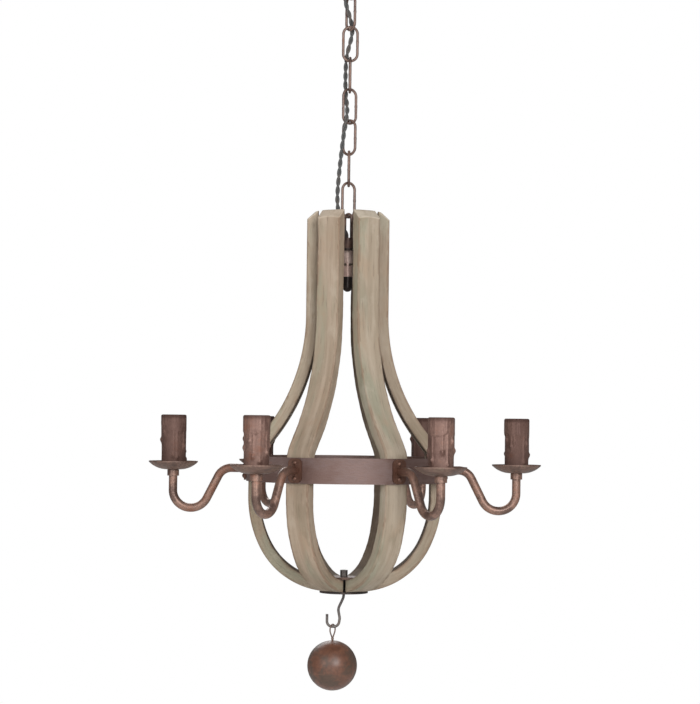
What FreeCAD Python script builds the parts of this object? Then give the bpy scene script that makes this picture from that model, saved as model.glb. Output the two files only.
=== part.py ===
import FreeCAD, Part
import math
import os

import Sketcher
from FreeCAD import Placement, Rotation, Vector

# Six-armed stave chandelier on a chain.
# Origin: centre of the ceiling plane. +Z is up, and the lamp hangs along -Z.
# Stave k stands at 60 k - 120 degrees about Z, counted from +X.

# Driving sizes, in millimetres and degrees
SIZES = {
    # ceiling bracket, a strip bent like a hat
    "bracket_length": 96,
    "bracket_width": 20,
    "bracket_plate": 2.5,
    "bracket_drop": 28,
    "bridge_length": 51,
    "slot_spacing": 72,
    "slot_width": 5,
    "slot_length": 12,
    # terminal block on the bracket's bridge
    "block_length": 32,
    "block_width": 18,
    "block_depth": 18,
    # canopy that covers them
    "canopy_radius": 60,
    "canopy_depth": 40,
    "canopy_round": 34,
    "canopy_wall": 1.5,
    # hollow nipple, its nut and the loop screwed on below the canopy
    "nipple_diameter": 10,
    "nipple_bore": 7.6,
    "nipple_rise": 4,
    "nipple_reach": 12,
    "nut_flats": 15,
    "nut_height": 4,
    "loop_collar_diameter": 24,
    "loop_collar_height": 18,
    "loop_bore": 9,
    "loop_wire": 4.4,
    "loop_bend": 6.8,
    "canopy_loop_length": 34,
    "leg_sink": 3,
    # chain
    "link_length": 57,
    "link_width": 26,
    "link_wire": 4.2,
    # supply cable
    "cable_diameter": 6.9,
    # height of the fixture on its loop
    "loop_below_tops": 2.6,
    "hub_loop_length": 34.7,
    # hub
    "hub_collar_diameter": 18,
    "hub_collar_height": 16.8,
    "hub_bore": 12,
    "hub_nipple_bore": 9.6,
    "hub_nipple_length": 24,
    "spider_plate": 3,
    "spider_disc": 34,
    "spoke_width": 12,
    "tab_height": 24,
    "hub_tube_diameter": 15,
    "hub_tube_length": 40,
    "cap_diameter": 14.6,
    "cap_length": 23,
    "plug_length": 12.6,
    "splice_diameter": 9.4,
    "splice_length": 11,
    "splice_drop": 16,
    # wood screws from the spider's tabs into the staves
    "screw_diameter": 3.6,
    "screw_depth": 9,
    "screw_head": 7,
    "screw_head_height": 2.2,
    # staves, given by the outer face of their middle line
    "stave_width": 38,
    "stave_thickness": 18,
    "stave_top_bevel": 12,
    "stave_bevel_drop": 11,
    "neck_radius": 63,
    "neck_height": 257,
    "flare_bend": 290,
    "belly_radius": 147.5,
    "flare_drop": 112,
    "shoulder_bend": 40,
    "belly_height": 106,
    "heel_run": 48.5,
    "heel_drop": 101.7,
    "toe_radius": 19.3,
    "toe_drop": 3.6,
    "miter_gap": 3,
    "seat_cut": 0.7,
    # hoop round the belly
    "hoop_height": 38,
    "hoop_thickness": 2.5,
    "hoop_drop": 25.4,
    # arms
    "arm_diameter": 13,
    "arm_bore": 9.5,
    "arm_crest_run": 40.3,
    "arm_dip_run": 30.9,
    "arm_dip": 61.5,
    "arm_crest_bend": 22,
    "arm_cup_run": 44.3,
    "arm_top": 7.8,
    "root_width": 22,
    "root_height": 36,
    "root_corner": 7.3,
    "root_plate": 3,
    "bolt_spacing": 23,
    "bolt_diameter": 4,
    "bolt_head": 7.6,
    "bolt_head_height": 2.6,
    "bolt_nut_flats": 7,
    "bolt_nut_height": 3.2,
    "bolt_end": 1.5,
    # collar, drip pan, nipple, lampholder and sleeve on each arm
    "pan_collar_diameter": 18,
    "pan_collar_height": 9.2,
    "pan_collar_grip": 5,
    "pan_radius": 37.5,
    "pan_depth": 11.5,
    "pan_floor_radius": 10,
    "pan_wall": 1.2,
    "pan_lip": 1.6,
    "arm_nipple_diameter": 10,
    "arm_nipple_bore": 6,
    "arm_nipple_rise": 13,
    "holder_diameter": 27,
    "holder_height": 62,
    "lamp_bore": 14.2,
    "lamp_bore_depth": 22,
    "holder_channel": 7,
    "sleeve_diameter": 39,
    "sleeve_wall": 2,
    "sleeve_height": 81,
    # lamp wires
    "wire_diameter": 3,
    "wire_hole": 4,
    "wire_bend": 9,
    "wire_off": 0.4,
    # clamp at the bottom
    "bottom_plate_diameter": 74,
    "bottom_plate_thickness": 3,
    "clamp_plate_diameter": 50,
    "clamp_plate_thickness": 3,
    "clamp_nut_flats": 10,
    "clamp_nut_height": 10,
    # hook, eye and ball
    "hook_wire": 4.1,
    "hook_drop": 7,
    "hook_lean": 8.3,
    "hook_lean_drop": 25,
    "hook_back": 5.5,
    "hook_back_drop": 39,
    "hook_heel": 7.5,
    "hook_depth": 52,
    "hook_mouth": 17.5,
    "hook_tip_rise": 19,
    "hook_soft_bend": 14,
    "hook_round_bend": 8,
    "eye_wire": 2.1,
    "eye_bend": 8,
    "eye_length": 14,
    "eye_neck": 4.4,
    "eye_shank": 3,
    "eye_shank_depth": 16,
    "ball_diameter": 76,
    # clearances
    "seat_gap": 0.3,
    "thread_gap": 0.1,
    "hole_gap": 0.2,
    "cut_overrun": 1,
}

STAVES = 6
STAVE_STEP = 360 / STAVES
FIRST_STAVE = -60
# turn of each ring about Z, from the plane that faces the viewer
CANOPY_LOOP_TURN = 35
LINK_TURNS = [-55, 0, 90, 26, -34, -92, 30]
HUB_LOOP_TURN = -45
EYE_TURN = 60
BLOCK_BORE_SHARE = 0.6
# corner radius of a hexagon over its flats
HEXAGON_SHARE = 1 / math.sqrt(3)
# how much of the run beside it the arc at a corner takes up
HEEL_ARC_SHARE = 0.91
BELLY_ARC_SHARE = 0.985
CUP_ARC_SHARE = 0.61
# how much of a cable run each of its two arcs takes up
CABLE_ARC_SHARE = 0.45

# Route of the supply cable, from the terminal block down into the hub
CABLE_ROUTE = [
    (0, 0, -20),
    (0.2, 0, -38),
    (0, 0, -57),
    (-2.6, 1.8, -70),
    (-7.4, 2.8, -81),
    (-9.6, 1.4, -92),
    (-6.2, -1.2, -105),
    (-0.8, 2.4, -121),
    (3.5, 7.1, -137),
    (1.8, 6.2, -152),
    (-2.6, 5.6, -168),
    (-6.2, 6.6, -185),
    (-6.8, 4.8, -206),
    (-6.9, 5.2, -229),
    (-5.2, 2.2, -248),
    (-3.2, -4.2, -264),
    (-5.0, -10.4, -282),
    (-8.4, -10.2, -301),
    (-11.0, -9.0, -323),
    (-13.4, -7.8, -346),
    (-15.6, -6.9, -370),
    (-17.2, -6.8, -392),
    (-17.2, -7.6, -411),
    (-14.4, -8.2, -428),
    (-9.2, -6.6, -442),
    (-3.4, -2.5, -454),
    (-0.7, -0.4, -467),
    (0, 0, -484),
    (0, 0, -496),
]


class Size:
    """A length that knows its value and the sheet expression that gives it."""

    def __init__(self, value, text):
        self.value = float(value)
        self.text = text

    def __float__(self):
        return self.value

    def __neg__(self):
        return Size(-self.value, f"-({self.text})")

    def __add__(self, other):
        other = as_size(other)
        return Size(self.value + other.value, f"({self.text} + {other.text})")

    def __sub__(self, other):
        other = as_size(other)
        return Size(self.value - other.value, f"({self.text} - {other.text})")

    def __mul__(self, other):
        other = as_size(other)
        return Size(self.value * other.value, f"({self.text} * {other.text})")

    def __truediv__(self, other):
        other = as_size(other)
        return Size(self.value / other.value, f"({self.text} / {other.text})")

    __radd__ = __add__
    __rmul__ = __mul__


def as_size(number):
    return number if isinstance(number, Size) else Size(number, repr(number))


def hypotenuse(one, other):
    """The long side over two square sides."""
    value = math.hypot(float(one), float(other))
    return Size(value, f"sqrt(({one.text}) ^ 2 + ({other.text}) ^ 2)")


def absolute(size):
    return Size(abs(size.value), f"abs({size.text})")


def other_side(long_side, side):
    """The square side that is left of a long side and one square side."""
    value = math.sqrt(float(long_side) ** 2 - float(side) ** 2)
    return Size(value, f"sqrt(({long_side.text}) ^ 2 - ({side.text}) ^ 2)")


class Sheet:
    """The document's spreadsheet. Each attribute is one of its aliases, as a Size."""

    def __init__(self, doc):
        self.cells = doc.addObject("Spreadsheet::Sheet", "Sizes")
        self.rows = 0
        for name, number in SIZES.items():
            self.write(name, str(number))

    def write(self, name, text):
        self.rows += 1
        self.cells.set(f"A{self.rows}", name)
        self.cells.set(f"B{self.rows}", text)
        self.cells.setAlias(f"B{self.rows}", name)

    def __getattr__(self, name):
        return Size(SIZES[name], f"Sizes.{name}")

    def derive(self, name, size):
        """Gives a worked-out size a row of its own."""
        self.write(name, "=" + size.text.replace("Sizes.", ""))
        return Size(size.value, f"Sizes.{name}")


doc = FreeCAD.newDocument("stave_chandelier")
s = Sheet(doc)
doc.recompute()
zero = as_size(0)
sub_parts = []


# Helpers

def bind(item, **properties):
    """Sets properties and ties each to the sheet."""
    for name, size in properties.items():
        size = as_size(size)
        setattr(item, name, size.value)
        if "Sizes" in size.text:
            item.setExpression(name, size.text)
    return item


def put(item, x=0, y=0, z=0, turn=0):
    """Places an item: a turn about Z, then a shift that stays tied to the sheet."""
    base = Vector(float(x), float(y), float(z))
    item.Placement = Placement(base, Rotation(Vector(0, 0, 1), turn))
    for axis, size in (("x", x), ("y", y), ("z", z)):
        if "Sizes" in as_size(size).text:
            item.setExpression(f"Placement.Base.{axis}", as_size(size).text)
    return item


def keep(item, label):
    """Names a finished sub-part and puts it on the list of files."""
    item.Label = label
    sub_parts.append(item)
    return item


def cylinder(name, radius, height, z=zero, x=zero):
    item = bind(doc.addObject("Part::Cylinder", name), Radius=radius, Height=height)
    return put(item, x, zero, z)


def box(name, length, width, height, z=zero):
    """A box centred on the middle line, standing on z."""
    item = bind(doc.addObject("Part::Box", name), Length=length, Width=width, Height=height)
    return put(item, -length / 2, -width / 2, z)


def hexagon(name, flats, height, z):
    """A hexagonal prism, sized over its flats."""
    item = doc.addObject("Part::Prism", name)
    item.Polygon = 6
    bind(item, Circumradius=flats * HEXAGON_SHARE, Height=height)
    return put(item, z=z)


def fuse(name, *shapes):
    item = doc.addObject("Part::MultiFuse", name)
    item.Shapes = list(shapes)
    return item


def cut(name, base, *tools):
    """The base less its tools."""
    item = doc.addObject("Part::Cut", name)
    item.Base = base
    item.Tool = tools[0] if len(tools) == 1 else fuse(name + "_tools", *tools)
    return item


def bored(label, solid, bore, height, z):
    """A solid with a round hole right through it."""
    over = s.cut_overrun
    hole = cylinder(label + "_hole", bore / 2, height + over + over, z - over)
    return cut(label, solid, hole)


def tube(label, outer, bore, height, z):
    solid = cylinder(label + "_outside", outer / 2, height, z)
    return bored(label, solid, bore, height, z)


def body(label, compound=False):
    """An empty body. A compound one may hold several solids."""
    item = doc.addObject("PartDesign::Body", label + "_body")
    item.AllowCompound = compound
    return item


def origin_of(whole, role):
    return next(item for item in whole.Origin.OriginFeatures if item.Role == role)


def sketch_on(whole, name, role, lift=zero, shift=zero, rise=zero):
    """A sketch on an origin plane, lifted along its normal or moved in the plane."""
    item = whole.newObject("Sketcher::SketchObject", f"{whole.Name}_{name}")
    item.AttachmentSupport = [(origin_of(whole, role), "")]
    item.MapMode = "FlatFace"
    base = Vector(float(shift), float(rise), float(lift))
    item.AttachmentOffset = Placement(base, Rotation())
    for axis, size in (("x", shift), ("y", rise), ("z", lift)):
        if "Sizes" in size.text:
            item.setExpression(f"AttachmentOffset.Base.{axis}", size.text)
    return item


def tie(item, kind, size, *where):
    """Adds a measured constraint to a sketch, tied to the sheet."""
    size = as_size(size)
    number = item.addConstraint(Sketcher.Constraint(kind, *where, size.value))
    if "Sizes" in size.text:
        item.setExpression(f"Constraints[{number}]", size.text)


def tie_point(item, geometry, end, x, y):
    """Holds a sketch point at two distances from the sketch's origin."""
    tie(item, "DistanceX", x, -1, 1, geometry, end)
    tie(item, "DistanceY", y, -1, 1, geometry, end)


def join(item, kind, *where):
    """Adds a constraint without a size to a sketch."""
    item.addConstraint(Sketcher.Constraint(kind, *where))


def arc_between(start, end, radius, left):
    """The short arc from start to end; left says on which side its centre lies."""
    half = (end - start) * 0.5
    middle = start + half
    side = Vector(-half.y, half.x, 0).normalize() * (1 if left else -1)
    reach = math.sqrt(max(radius ** 2 - half.Length ** 2, 0))
    crown = middle + side * (reach - radius)
    return Part.Arc(start, crown, end)


def outline(item, corners):
    """Draws a closed outline. A corner is (x, y), or (x, y, radius, left) for an arc to it."""
    base, count = item.GeometryCount, len(corners)
    for number, here in enumerate(corners):
        ahead = corners[(number + 1) % count]
        start = Vector(float(here[0]), float(here[1]), 0)
        end = Vector(float(ahead[0]), float(ahead[1]), 0)
        if len(ahead) == 2:
            item.addGeometry(Part.LineSegment(start, end), False)
            tie_point(item, base + number, 1, here[0], here[1])
            continue
        radius, left = ahead[2:]
        item.addGeometry(arc_between(start, end, float(radius), left), False)
        first, last = (1, 2) if left else (2, 1)
        tie_point(item, base + number, first, here[0], here[1])
        tie(item, "DistanceX", ahead[0], -1, 1, base + number, last)
        tie(item, "Radius", radius, base + number)


def rectangle(low_x, high_x, low_y, high_y):
    return [(low_x, low_y), (high_x, low_y), (high_x, high_y), (low_x, high_y)]


def six_corners(flats, y):
    """Corners of a hexagon round (0, y), with a corner at its top."""
    half, corner = flats / 2, flats * HEXAGON_SHARE
    right = [(half, y - corner / 2), (half, y + corner / 2)]
    left = [(-half, y + corner / 2), (-half, y - corner / 2)]
    return [(zero, y - corner)] + right + [(zero, y + corner)] + left


def round_hole(item, x, y, radius):
    """A circle held at a place and a radius."""
    number = item.GeometryCount
    centre = Vector(float(x), float(y), 0)
    item.addGeometry(Part.Circle(centre, Vector(0, 0, 1), float(radius)), False)
    tie_point(item, number, 3, x, y)
    tie(item, "Radius", radius, number)


def slot(item, x, length, width):
    """A round-ended slot along X, centred at (x, 0)."""
    radius, reach = width / 2, (length - width) / 2
    base = item.GeometryCount
    for end, low in ((x + reach, -90), (x - reach, 90)):
        circle = Part.Circle(Vector(float(end), 0, 0), Vector(0, 0, 1), float(radius))
        arc = Part.ArcOfCircle(circle, math.radians(low), math.radians(low + 180))
        item.addGeometry(arc, False)
        tie_point(item, item.GeometryCount - 1, 3, end, zero)
    for side in (1, -1):
        level = side * float(radius)
        start, end = Vector(float(x - reach), level, 0), Vector(float(x + reach), level, 0)
        item.addGeometry(Part.LineSegment(start, end), False)
    tie(item, "Radius", radius, base)
    join(item, "Tangent", base, 2, base + 2, 2)
    join(item, "Tangent", base + 1, 1, base + 2, 1)
    join(item, "Tangent", base, 1, base + 3, 2)
    join(item, "Tangent", base + 1, 2, base + 3, 1)


def corner_arc(before, corner, after, bend):
    """The arc that rounds a corner, its two ends in order, and whether it turns left."""
    coming = (corner - before).normalize()
    going = (after - corner).normalize()
    turn = coming.getAngle(going)
    reach = bend * math.tan(turn / 2)
    first, final = corner - coming * reach, corner + going * reach
    inward = (going - coming).normalize()
    middle = corner + inward * (bend / math.cos(turn / 2) - bend)
    left = coming.x * going.y - coming.y * going.x > 0
    return Part.Arc(first, middle, final), first, final, left


def bent_line(item, corners, bends):
    """Straight runs between corners in a sketch, with a tangent arc of its bend at each corner."""
    spots = [Vector(float(x), float(y), 0) for x, y in corners]
    for spot, (x, y) in zip(spots, corners):
        item.addGeometry(Part.Point(spot), True)
        tie_point(item, item.GeometryCount - 1, 1, x, y)
    last, arc, arc_end = spots[0], None, None
    for number in range(1, len(spots)):
        line = item.GeometryCount
        rounded = number < len(spots) - 1
        stop = spots[-1]
        if rounded:
            curve, stop, onward, left = corner_arc(*spots[number - 1:number + 2], float(bends[number - 1]))
        item.addGeometry(Part.LineSegment(last, stop), False)
        if arc is None:
            join(item, "Coincident", line, 1, number - 1, 1)
        else:
            join(item, "Tangent", arc, arc_end, line, 1)
            join(item, "PointOnObject", number - 1, 1, line)
        if not rounded:
            join(item, "Coincident", line, 2, number, 1)
            return item
        join(item, "PointOnObject", number, 1, line)
        item.addGeometry(curve, False)
        arc, arc_start, arc_end = line + 1, 1 if left else 2, 2 if left else 1
        join(item, "Tangent", line, 2, arc, arc_start)
        tie(item, "Radius", bends[number - 1], arc)
        last = onward


def feature_of(whole, kind, name, profile, **settings):
    """A feature that builds on one sketch."""
    item = whole.newObject("PartDesign::" + kind, f"{whole.Name}_{name}")
    item.Profile = profile
    for key, value in settings.items():
        setattr(item, key, value)
    return item


def pad(whole, name, profile, length, both_sides=False):
    item = feature_of(whole, "Pad", name, profile, Midplane=both_sides)
    return bind(item, Length=length)


def pocket_through(whole, name, profile):
    """Cuts a sketch right through the body, both ways from its plane."""
    return feature_of(whole, "Pocket", name, profile, Type="ThroughAll", Midplane=True)


def pocket_along(whole, name, profile, length):
    """Cuts a sketch along its plane's normal."""
    item = feature_of(whole, "Pocket", name, profile, Reversed=True)
    return bind(item, Length=length)


def revolve(whole, name, profile, axis="V_Axis", kind="Revolution"):
    """Turns a sketch once round one of its own axes."""
    return feature_of(whole, kind, name, profile, ReferenceAxis=(profile, [axis]), Angle=360)


def pipe(whole, name, profile, path, kind="AdditivePipe"):
    return feature_of(whole, kind, name, profile, Spine=(path, []))


def ring_of(whole, originals):
    """Repeats features round the Z axis, once for each stave."""
    item = whole.newObject("PartDesign::PolarPattern", whole.Name + "_ring")
    item.Originals = originals
    item.Axis = (origin_of(whole, "Z_Axis"), [""])
    item.Angle = 360
    item.Occurrences = STAVES
    whole.Tip = item


def turned(label, corners, x=zero, y=zero, z=zero):
    """A turned piece: a closed outline of (radius, height) corners, revolved."""
    whole = body(label)
    profile = sketch_on(whole, "profile", "XZ_Plane")
    outline(profile, corners)
    revolve(whole, "turn", profile)
    return put(whole, x, y, z)


def turned_at_cups(label, corners, z):
    """Six turned pieces in one group, one over each cup."""
    whole = body(label, compound=True)
    profile = sketch_on(whole, "profile", "XZ_Plane", shift=cup_radius)
    outline(profile, corners)
    ring_of(whole, [revolve(whole, "turn", profile)])
    keep(put(whole, z=z), label)


def rounded_wire(points, bends):
    """Straight runs through points in space, joined by a tangent arc at each inner one."""
    edges = []
    last = points[0]
    for before, corner, after, bend in zip(points, points[1:], points[2:], bends):
        curve, first, final, _ = corner_arc(before, corner, after, bend)
        edges += [Part.LineSegment(last, first).toShape(), curve.toShape()]
        last = final
    edges.append(Part.LineSegment(last, points[-1]).toShape())
    return Part.Wire(edges)


def rod(wire, radius):
    """A round rod along a wire that starts straight."""
    first = wire.Edges[0]
    start = first.valueAt(first.FirstParameter)
    ahead = first.tangentAt(first.FirstParameter)
    ring = Part.Wire([Part.makeCircle(radius, start, ahead)])
    return wire.makePipeShell([ring], True, False)


def feature(label, shape, x=0, y=0, z=0, turn=0):
    """A sub-part whose shape is worked out here from the sheet's sizes."""
    item = doc.addObject("Part::Feature", label)
    item.Shape = shape
    return keep(put(item, x, y, z, turn), label)


def stave_turn(number):
    return FIRST_STAVE + STAVE_STEP * number


def at_cup(number):
    """The place of a cup, as x and y."""
    turn = math.radians(stave_turn(number))
    return cup_radius * math.cos(turn), cup_radius * math.sin(turn)


# Heights and radii that follow from the stack, from the ceiling down

bridge_top = s.bracket_plate - s.bracket_drop
nipple_top = bridge_top + s.nipple_rise
canopy_bottom = -s.canopy_depth
nipple_bottom = canopy_bottom - s.nipple_reach
loop_collar_bottom = canopy_bottom - s.loop_collar_height
canopy_loop_wire = loop_collar_bottom - s.canopy_loop_length
hang = (s.loop_wire + s.link_wire) / 2 + s.seat_gap
first_link_top = canopy_loop_wire + hang
link_pitch = s.link_length - s.link_wire * 2 - s.seat_gap
last_link = len(LINK_TURNS) - 1
last_link_bottom = first_link_top - link_pitch * last_link - s.link_length + s.link_wire
fixture_z = last_link_bottom + hang + s.loop_below_tops

# From here on, heights are below the tops of the staves
hub_loop_bend_z = -s.loop_below_tops - s.loop_bend
hub_collar_top = -s.loop_below_tops - s.loop_wire / 2 - s.hub_loop_length
spider_top = hub_collar_top - s.hub_collar_height
spider_bottom = spider_top - s.spider_plate
hub_tube_bottom = spider_bottom - s.hub_tube_length
tab_screw_z = spider_bottom + (s.tab_height + s.spider_plate) / 2
splice_top = spider_bottom - s.splice_drop
wire_height = splice_top - s.splice_length / 2
neck_inner = s.neck_radius - s.stave_thickness
shoulder_height = s.neck_height + s.flare_drop
lower_belly_height = shoulder_height + s.belly_height
heel_radius, heel_height = s.belly_radius - s.heel_run, lower_belly_height + s.heel_drop
toe_height = heel_height + s.toe_drop
seat_height = toe_height - s.seat_cut
tab_outer = neck_inner - s.seat_gap
tab_inner = tab_outer - s.spider_plate
hoop_inner = hypotenuse(s.belly_radius, s.stave_width / 2) + s.seat_gap
hoop_outer = hoop_inner + s.hoop_thickness
root_face = hoop_outer + s.seat_gap
head_face = root_face + s.root_plate + s.seat_gap
nut_face = s.belly_radius - s.stave_thickness - s.seat_gap
bolt_tip = nut_face - s.bolt_nut_height - s.bolt_end
bolt_hole = s.bolt_diameter / 2 + s.hole_gap
arm_height = -shoulder_height - s.hoop_drop
arm_crest_radius = s.belly_radius + s.arm_crest_run
arm_dip_radius = arm_crest_radius + s.arm_dip_run
cup_radius = arm_dip_radius + s.arm_cup_run
arm_end = arm_height - s.arm_top
collar_bottom = arm_end - s.pan_collar_grip
pan_bottom = collar_bottom + s.pan_collar_height + s.seat_gap
pan_floor = pan_bottom + s.pan_wall
bottom_plate_top = -seat_height - s.seat_gap
bottom_plate_low = bottom_plate_top - s.bottom_plate_thickness
clamp_low = bottom_plate_top + s.stave_thickness + s.seat_gap
clamp_nut_low = clamp_low + s.clamp_plate_thickness + s.seat_gap
hook_bottom = bottom_plate_low - s.hook_depth
eye_x = -s.hook_heel - s.hook_mouth / 2
eye_centre = hook_bottom + (s.hook_wire + s.eye_wire) / 2 + s.seat_gap - s.eye_bend
eye_tail = eye_centre - s.eye_length
ball_top = eye_tail - s.eye_neck / 2 - s.seat_gap

# Radii of the holes and fits that several pieces share
nipple_fit = s.nipple_diameter / 2 + s.thread_gap
arm_nipple_fit = s.arm_nipple_diameter / 2 + s.thread_gap
hub_fit = s.hub_bore / 2 - s.thread_gap
hook_fit = s.hook_wire + s.thread_gap * 2


# Ceiling bracket: a strip bent like a hat, with a slot in each foot

def ceiling_bracket():
    whole = body("ceiling_bracket")
    half, leg = s.bracket_length / 2, s.bridge_length / 2
    plate, low = s.bracket_plate, -s.bracket_drop
    profile = sketch_on(whole, "profile", "XZ_Plane")
    right = [(leg, -plate), (half, -plate), (half, zero), (leg - plate, zero), (leg - plate, low + plate)]
    left = [(-x, z) for x, z in reversed(right)]
    outline(profile, [(leg, low)] + right + left + [(-leg, low)])
    pad(whole, "strip", profile, s.bracket_width, both_sides=True)
    holes = sketch_on(whole, "holes", "XY_Plane")
    round_hole(holes, zero, zero, nipple_fit)
    for side in (1, -1):
        slot(holes, s.slot_spacing / 2 * side, s.slot_length, s.slot_width)
    pocket_through(whole, "cuts", holes)
    keep(whole, "ceiling_bracket")


def terminal_block():
    """A block with a stepped hole, for the end of the nipple and for the cable."""
    over = s.cut_overrun
    nipple_room = s.nipple_rise + s.seat_gap + over
    cable_hole = s.cable_diameter / 2 + s.hole_gap
    block = cut(
        "terminal_block",
        box("block_solid", s.block_length, s.block_width, s.block_depth, bridge_top),
        cylinder("block_nipple_hole", nipple_fit, nipple_room, bridge_top - over),
        cylinder("block_cable_hole", cable_hole, s.block_depth * BLOCK_BORE_SHARE, bridge_top),
    )
    keep(block, "terminal_block")


# Canopy: a spun bell, open at the ceiling

def canopy():
    radius, depth, wall, bend = s.canopy_radius, s.canopy_depth, s.canopy_wall, s.canopy_round
    hole = s.nipple_diameter / 2 + s.hole_gap
    bell = turned("canopy", [
        (radius, zero), (radius, bend - depth),
        (radius - bend, -depth, bend, False), (hole, -depth),
        (hole, wall - depth), (radius - bend, wall - depth),
        (radius - wall, bend - depth, bend - wall, True), (radius - wall, zero),
    ])
    keep(bell, "canopy")


def canopy_hardware():
    height = nipple_top - nipple_bottom
    nipple = tube("canopy_nipple", s.nipple_diameter, s.nipple_bore, height, nipple_bottom)
    keep(nipple, "canopy_nipple")
    low = -s.bracket_drop - s.seat_gap - s.nut_height
    blank = hexagon("nipple_nut_solid", s.nut_flats, s.nut_height, low)
    keep(bored("nipple_nut", blank, nipple_fit * 2, s.nut_height, low), "nipple_nut")


def half_ring(name, bend, wire, z, up):
    """Half a ring of round wire in the XZ plane, bowed up or down."""
    ring = bind(doc.addObject("Part::Torus", name), Radius1=bend, Radius2=wire / 2)
    ring.Angle3 = 180
    ring.Placement = Placement(Vector(0, 0, float(z)), Rotation(Vector(1, 0, 0), 90 if up else -90))
    ring.setExpression("Placement.Base.z", as_size(z).text)
    return ring


def wire_ring(label, parts, bend, wire, low, high, bows):
    """Two legs of wire from low to high, joined by half rings: bows are (height, up) pairs."""
    for side in (1, -1):
        name = f"{label}_leg_{'right' if side > 0 else 'left'}"
        parts.append(cylinder(name, wire / 2, high - low, low, bend * side))
    for z, up in bows:
        parts.append(half_ring(f"{label}_{'top' if up else 'bottom'}", bend, wire, z, up))
    return fuse(label, *parts)


def canopy_loop():
    """A collar screwed on the nipple, with a U of wire that carries the chain."""
    low, over = loop_collar_bottom, s.cut_overrun
    thread = canopy_bottom - nipple_bottom + s.seat_gap + over
    collar = cut(
        "canopy_loop_collar",
        cylinder("loop_collar_solid", s.loop_collar_diameter / 2, s.loop_collar_height, low),
        cylinder("loop_thread", nipple_fit, thread, nipple_bottom - s.seat_gap),
        cylinder("loop_cable_hole", s.loop_bore / 2, s.loop_collar_height + over, low - over),
    )
    centre = canopy_loop_wire + s.loop_bend
    loop = wire_ring(
        "canopy_loop", [collar], s.loop_bend, s.loop_wire, centre, low + s.leg_sink, [(centre, False)])
    keep(put(loop, turn=CANOPY_LOOP_TURN), "canopy_loop")


# Chain: welded links, each hung in the one above

def chain_link(number, turn):
    label = f"chain_link_{number + 1}"
    bend = (s.link_width - s.link_wire) / 2
    reach = (s.link_length - s.link_width) / 2
    ring = wire_ring(label, [], bend, s.link_wire, -reach, reach, [(reach, True), (-reach, False)])
    middle = first_link_top - link_pitch * number - (s.link_length - s.link_wire) / 2
    keep(put(ring, z=middle, turn=turn), label)


def supply_cable():
    """Runs between hand-chosen points, joined by arcs as large as the runs allow."""
    points = [Vector(*point) for point in CABLE_ROUTE]
    bends = []
    for before, here, after in zip(points, points[1:], points[2:]):
        turn = (here - before).getAngle(after - here)
        run = min((here - before).Length, (after - here).Length)
        bends.append(CABLE_ARC_SHARE * run / math.tan(turn / 2))
    route = rounded_wire(points, bends)
    cable = rod(route, float(s.cable_diameter) / 2)
    section = math.pi * float(s.cable_diameter) ** 2 / 4
    print("cable length", round(route.Length, 1))
    print("cable radii", [round(bend) for bend in bends])
    print("cable volume over section times length", round(cable.Volume / section / route.Length, 4))
    feature("supply_cable", cable)


# Hub on the middle line: loop, nipple, spider, tube and cap

def hub_loop():
    """A collar with an upright loop of wire, hung on the last link."""
    solid = cylinder("hub_collar_solid", s.hub_collar_diameter / 2, s.hub_collar_height, spider_top)
    collar = bored("hub_collar", solid, s.hub_bore, s.hub_collar_height, spider_top)
    loop = wire_ring(
        "hub_loop", [collar], s.loop_bend, s.loop_wire,
        hub_collar_top - s.leg_sink, hub_loop_bend_z, [(hub_loop_bend_z, True)])
    keep(put(loop, z=fixture_z, turn=HUB_LOOP_TURN), "hub_loop")


def hub_nipple():
    low = spider_bottom - s.hub_nipple_length / 2
    nipple = tube("hub_nipple", hub_fit * 2, s.hub_nipple_bore, s.hub_nipple_length, low)
    keep(put(nipple, z=fixture_z), "hub_nipple")


def hub_tube():
    """A tube with a hole towards each stave, for the lamp wires."""
    whole = body("hub_tube")
    wall = sketch_on(whole, "wall", "XY_Plane")
    round_hole(wall, zero, zero, s.hub_tube_diameter / 2)
    round_hole(wall, zero, zero, s.hub_bore / 2)
    pad(whole, "length", wall, s.hub_tube_length)
    hole = sketch_on(whole, "wire_hole", "YZ_Plane")
    round_hole(hole, zero, wire_height - hub_tube_bottom, s.wire_hole / 2)
    ring_of(whole, [pocket_along(whole, "drilled", hole, s.hub_tube_diameter)])
    keep(put(whole, z=fixture_z + hub_tube_bottom), "hub_tube")


def hub_cap():
    cap_radius = s.cap_diameter / 2
    cap = turned("hub_cap", [
        (zero, s.plug_length), (zero, -s.cap_length),
        (cap_radius, cap_radius - s.cap_length, cap_radius, True),
        (cap_radius, zero), (hub_fit, zero), (hub_fit, s.plug_length),
    ], z=fixture_z + hub_tube_bottom)
    keep(cap, "hub_cap")


def splice_block():
    low = fixture_z + splice_top - s.splice_length
    keep(cylinder("splice_block", s.splice_diameter / 2, s.splice_length, low), "splice_block")


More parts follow.
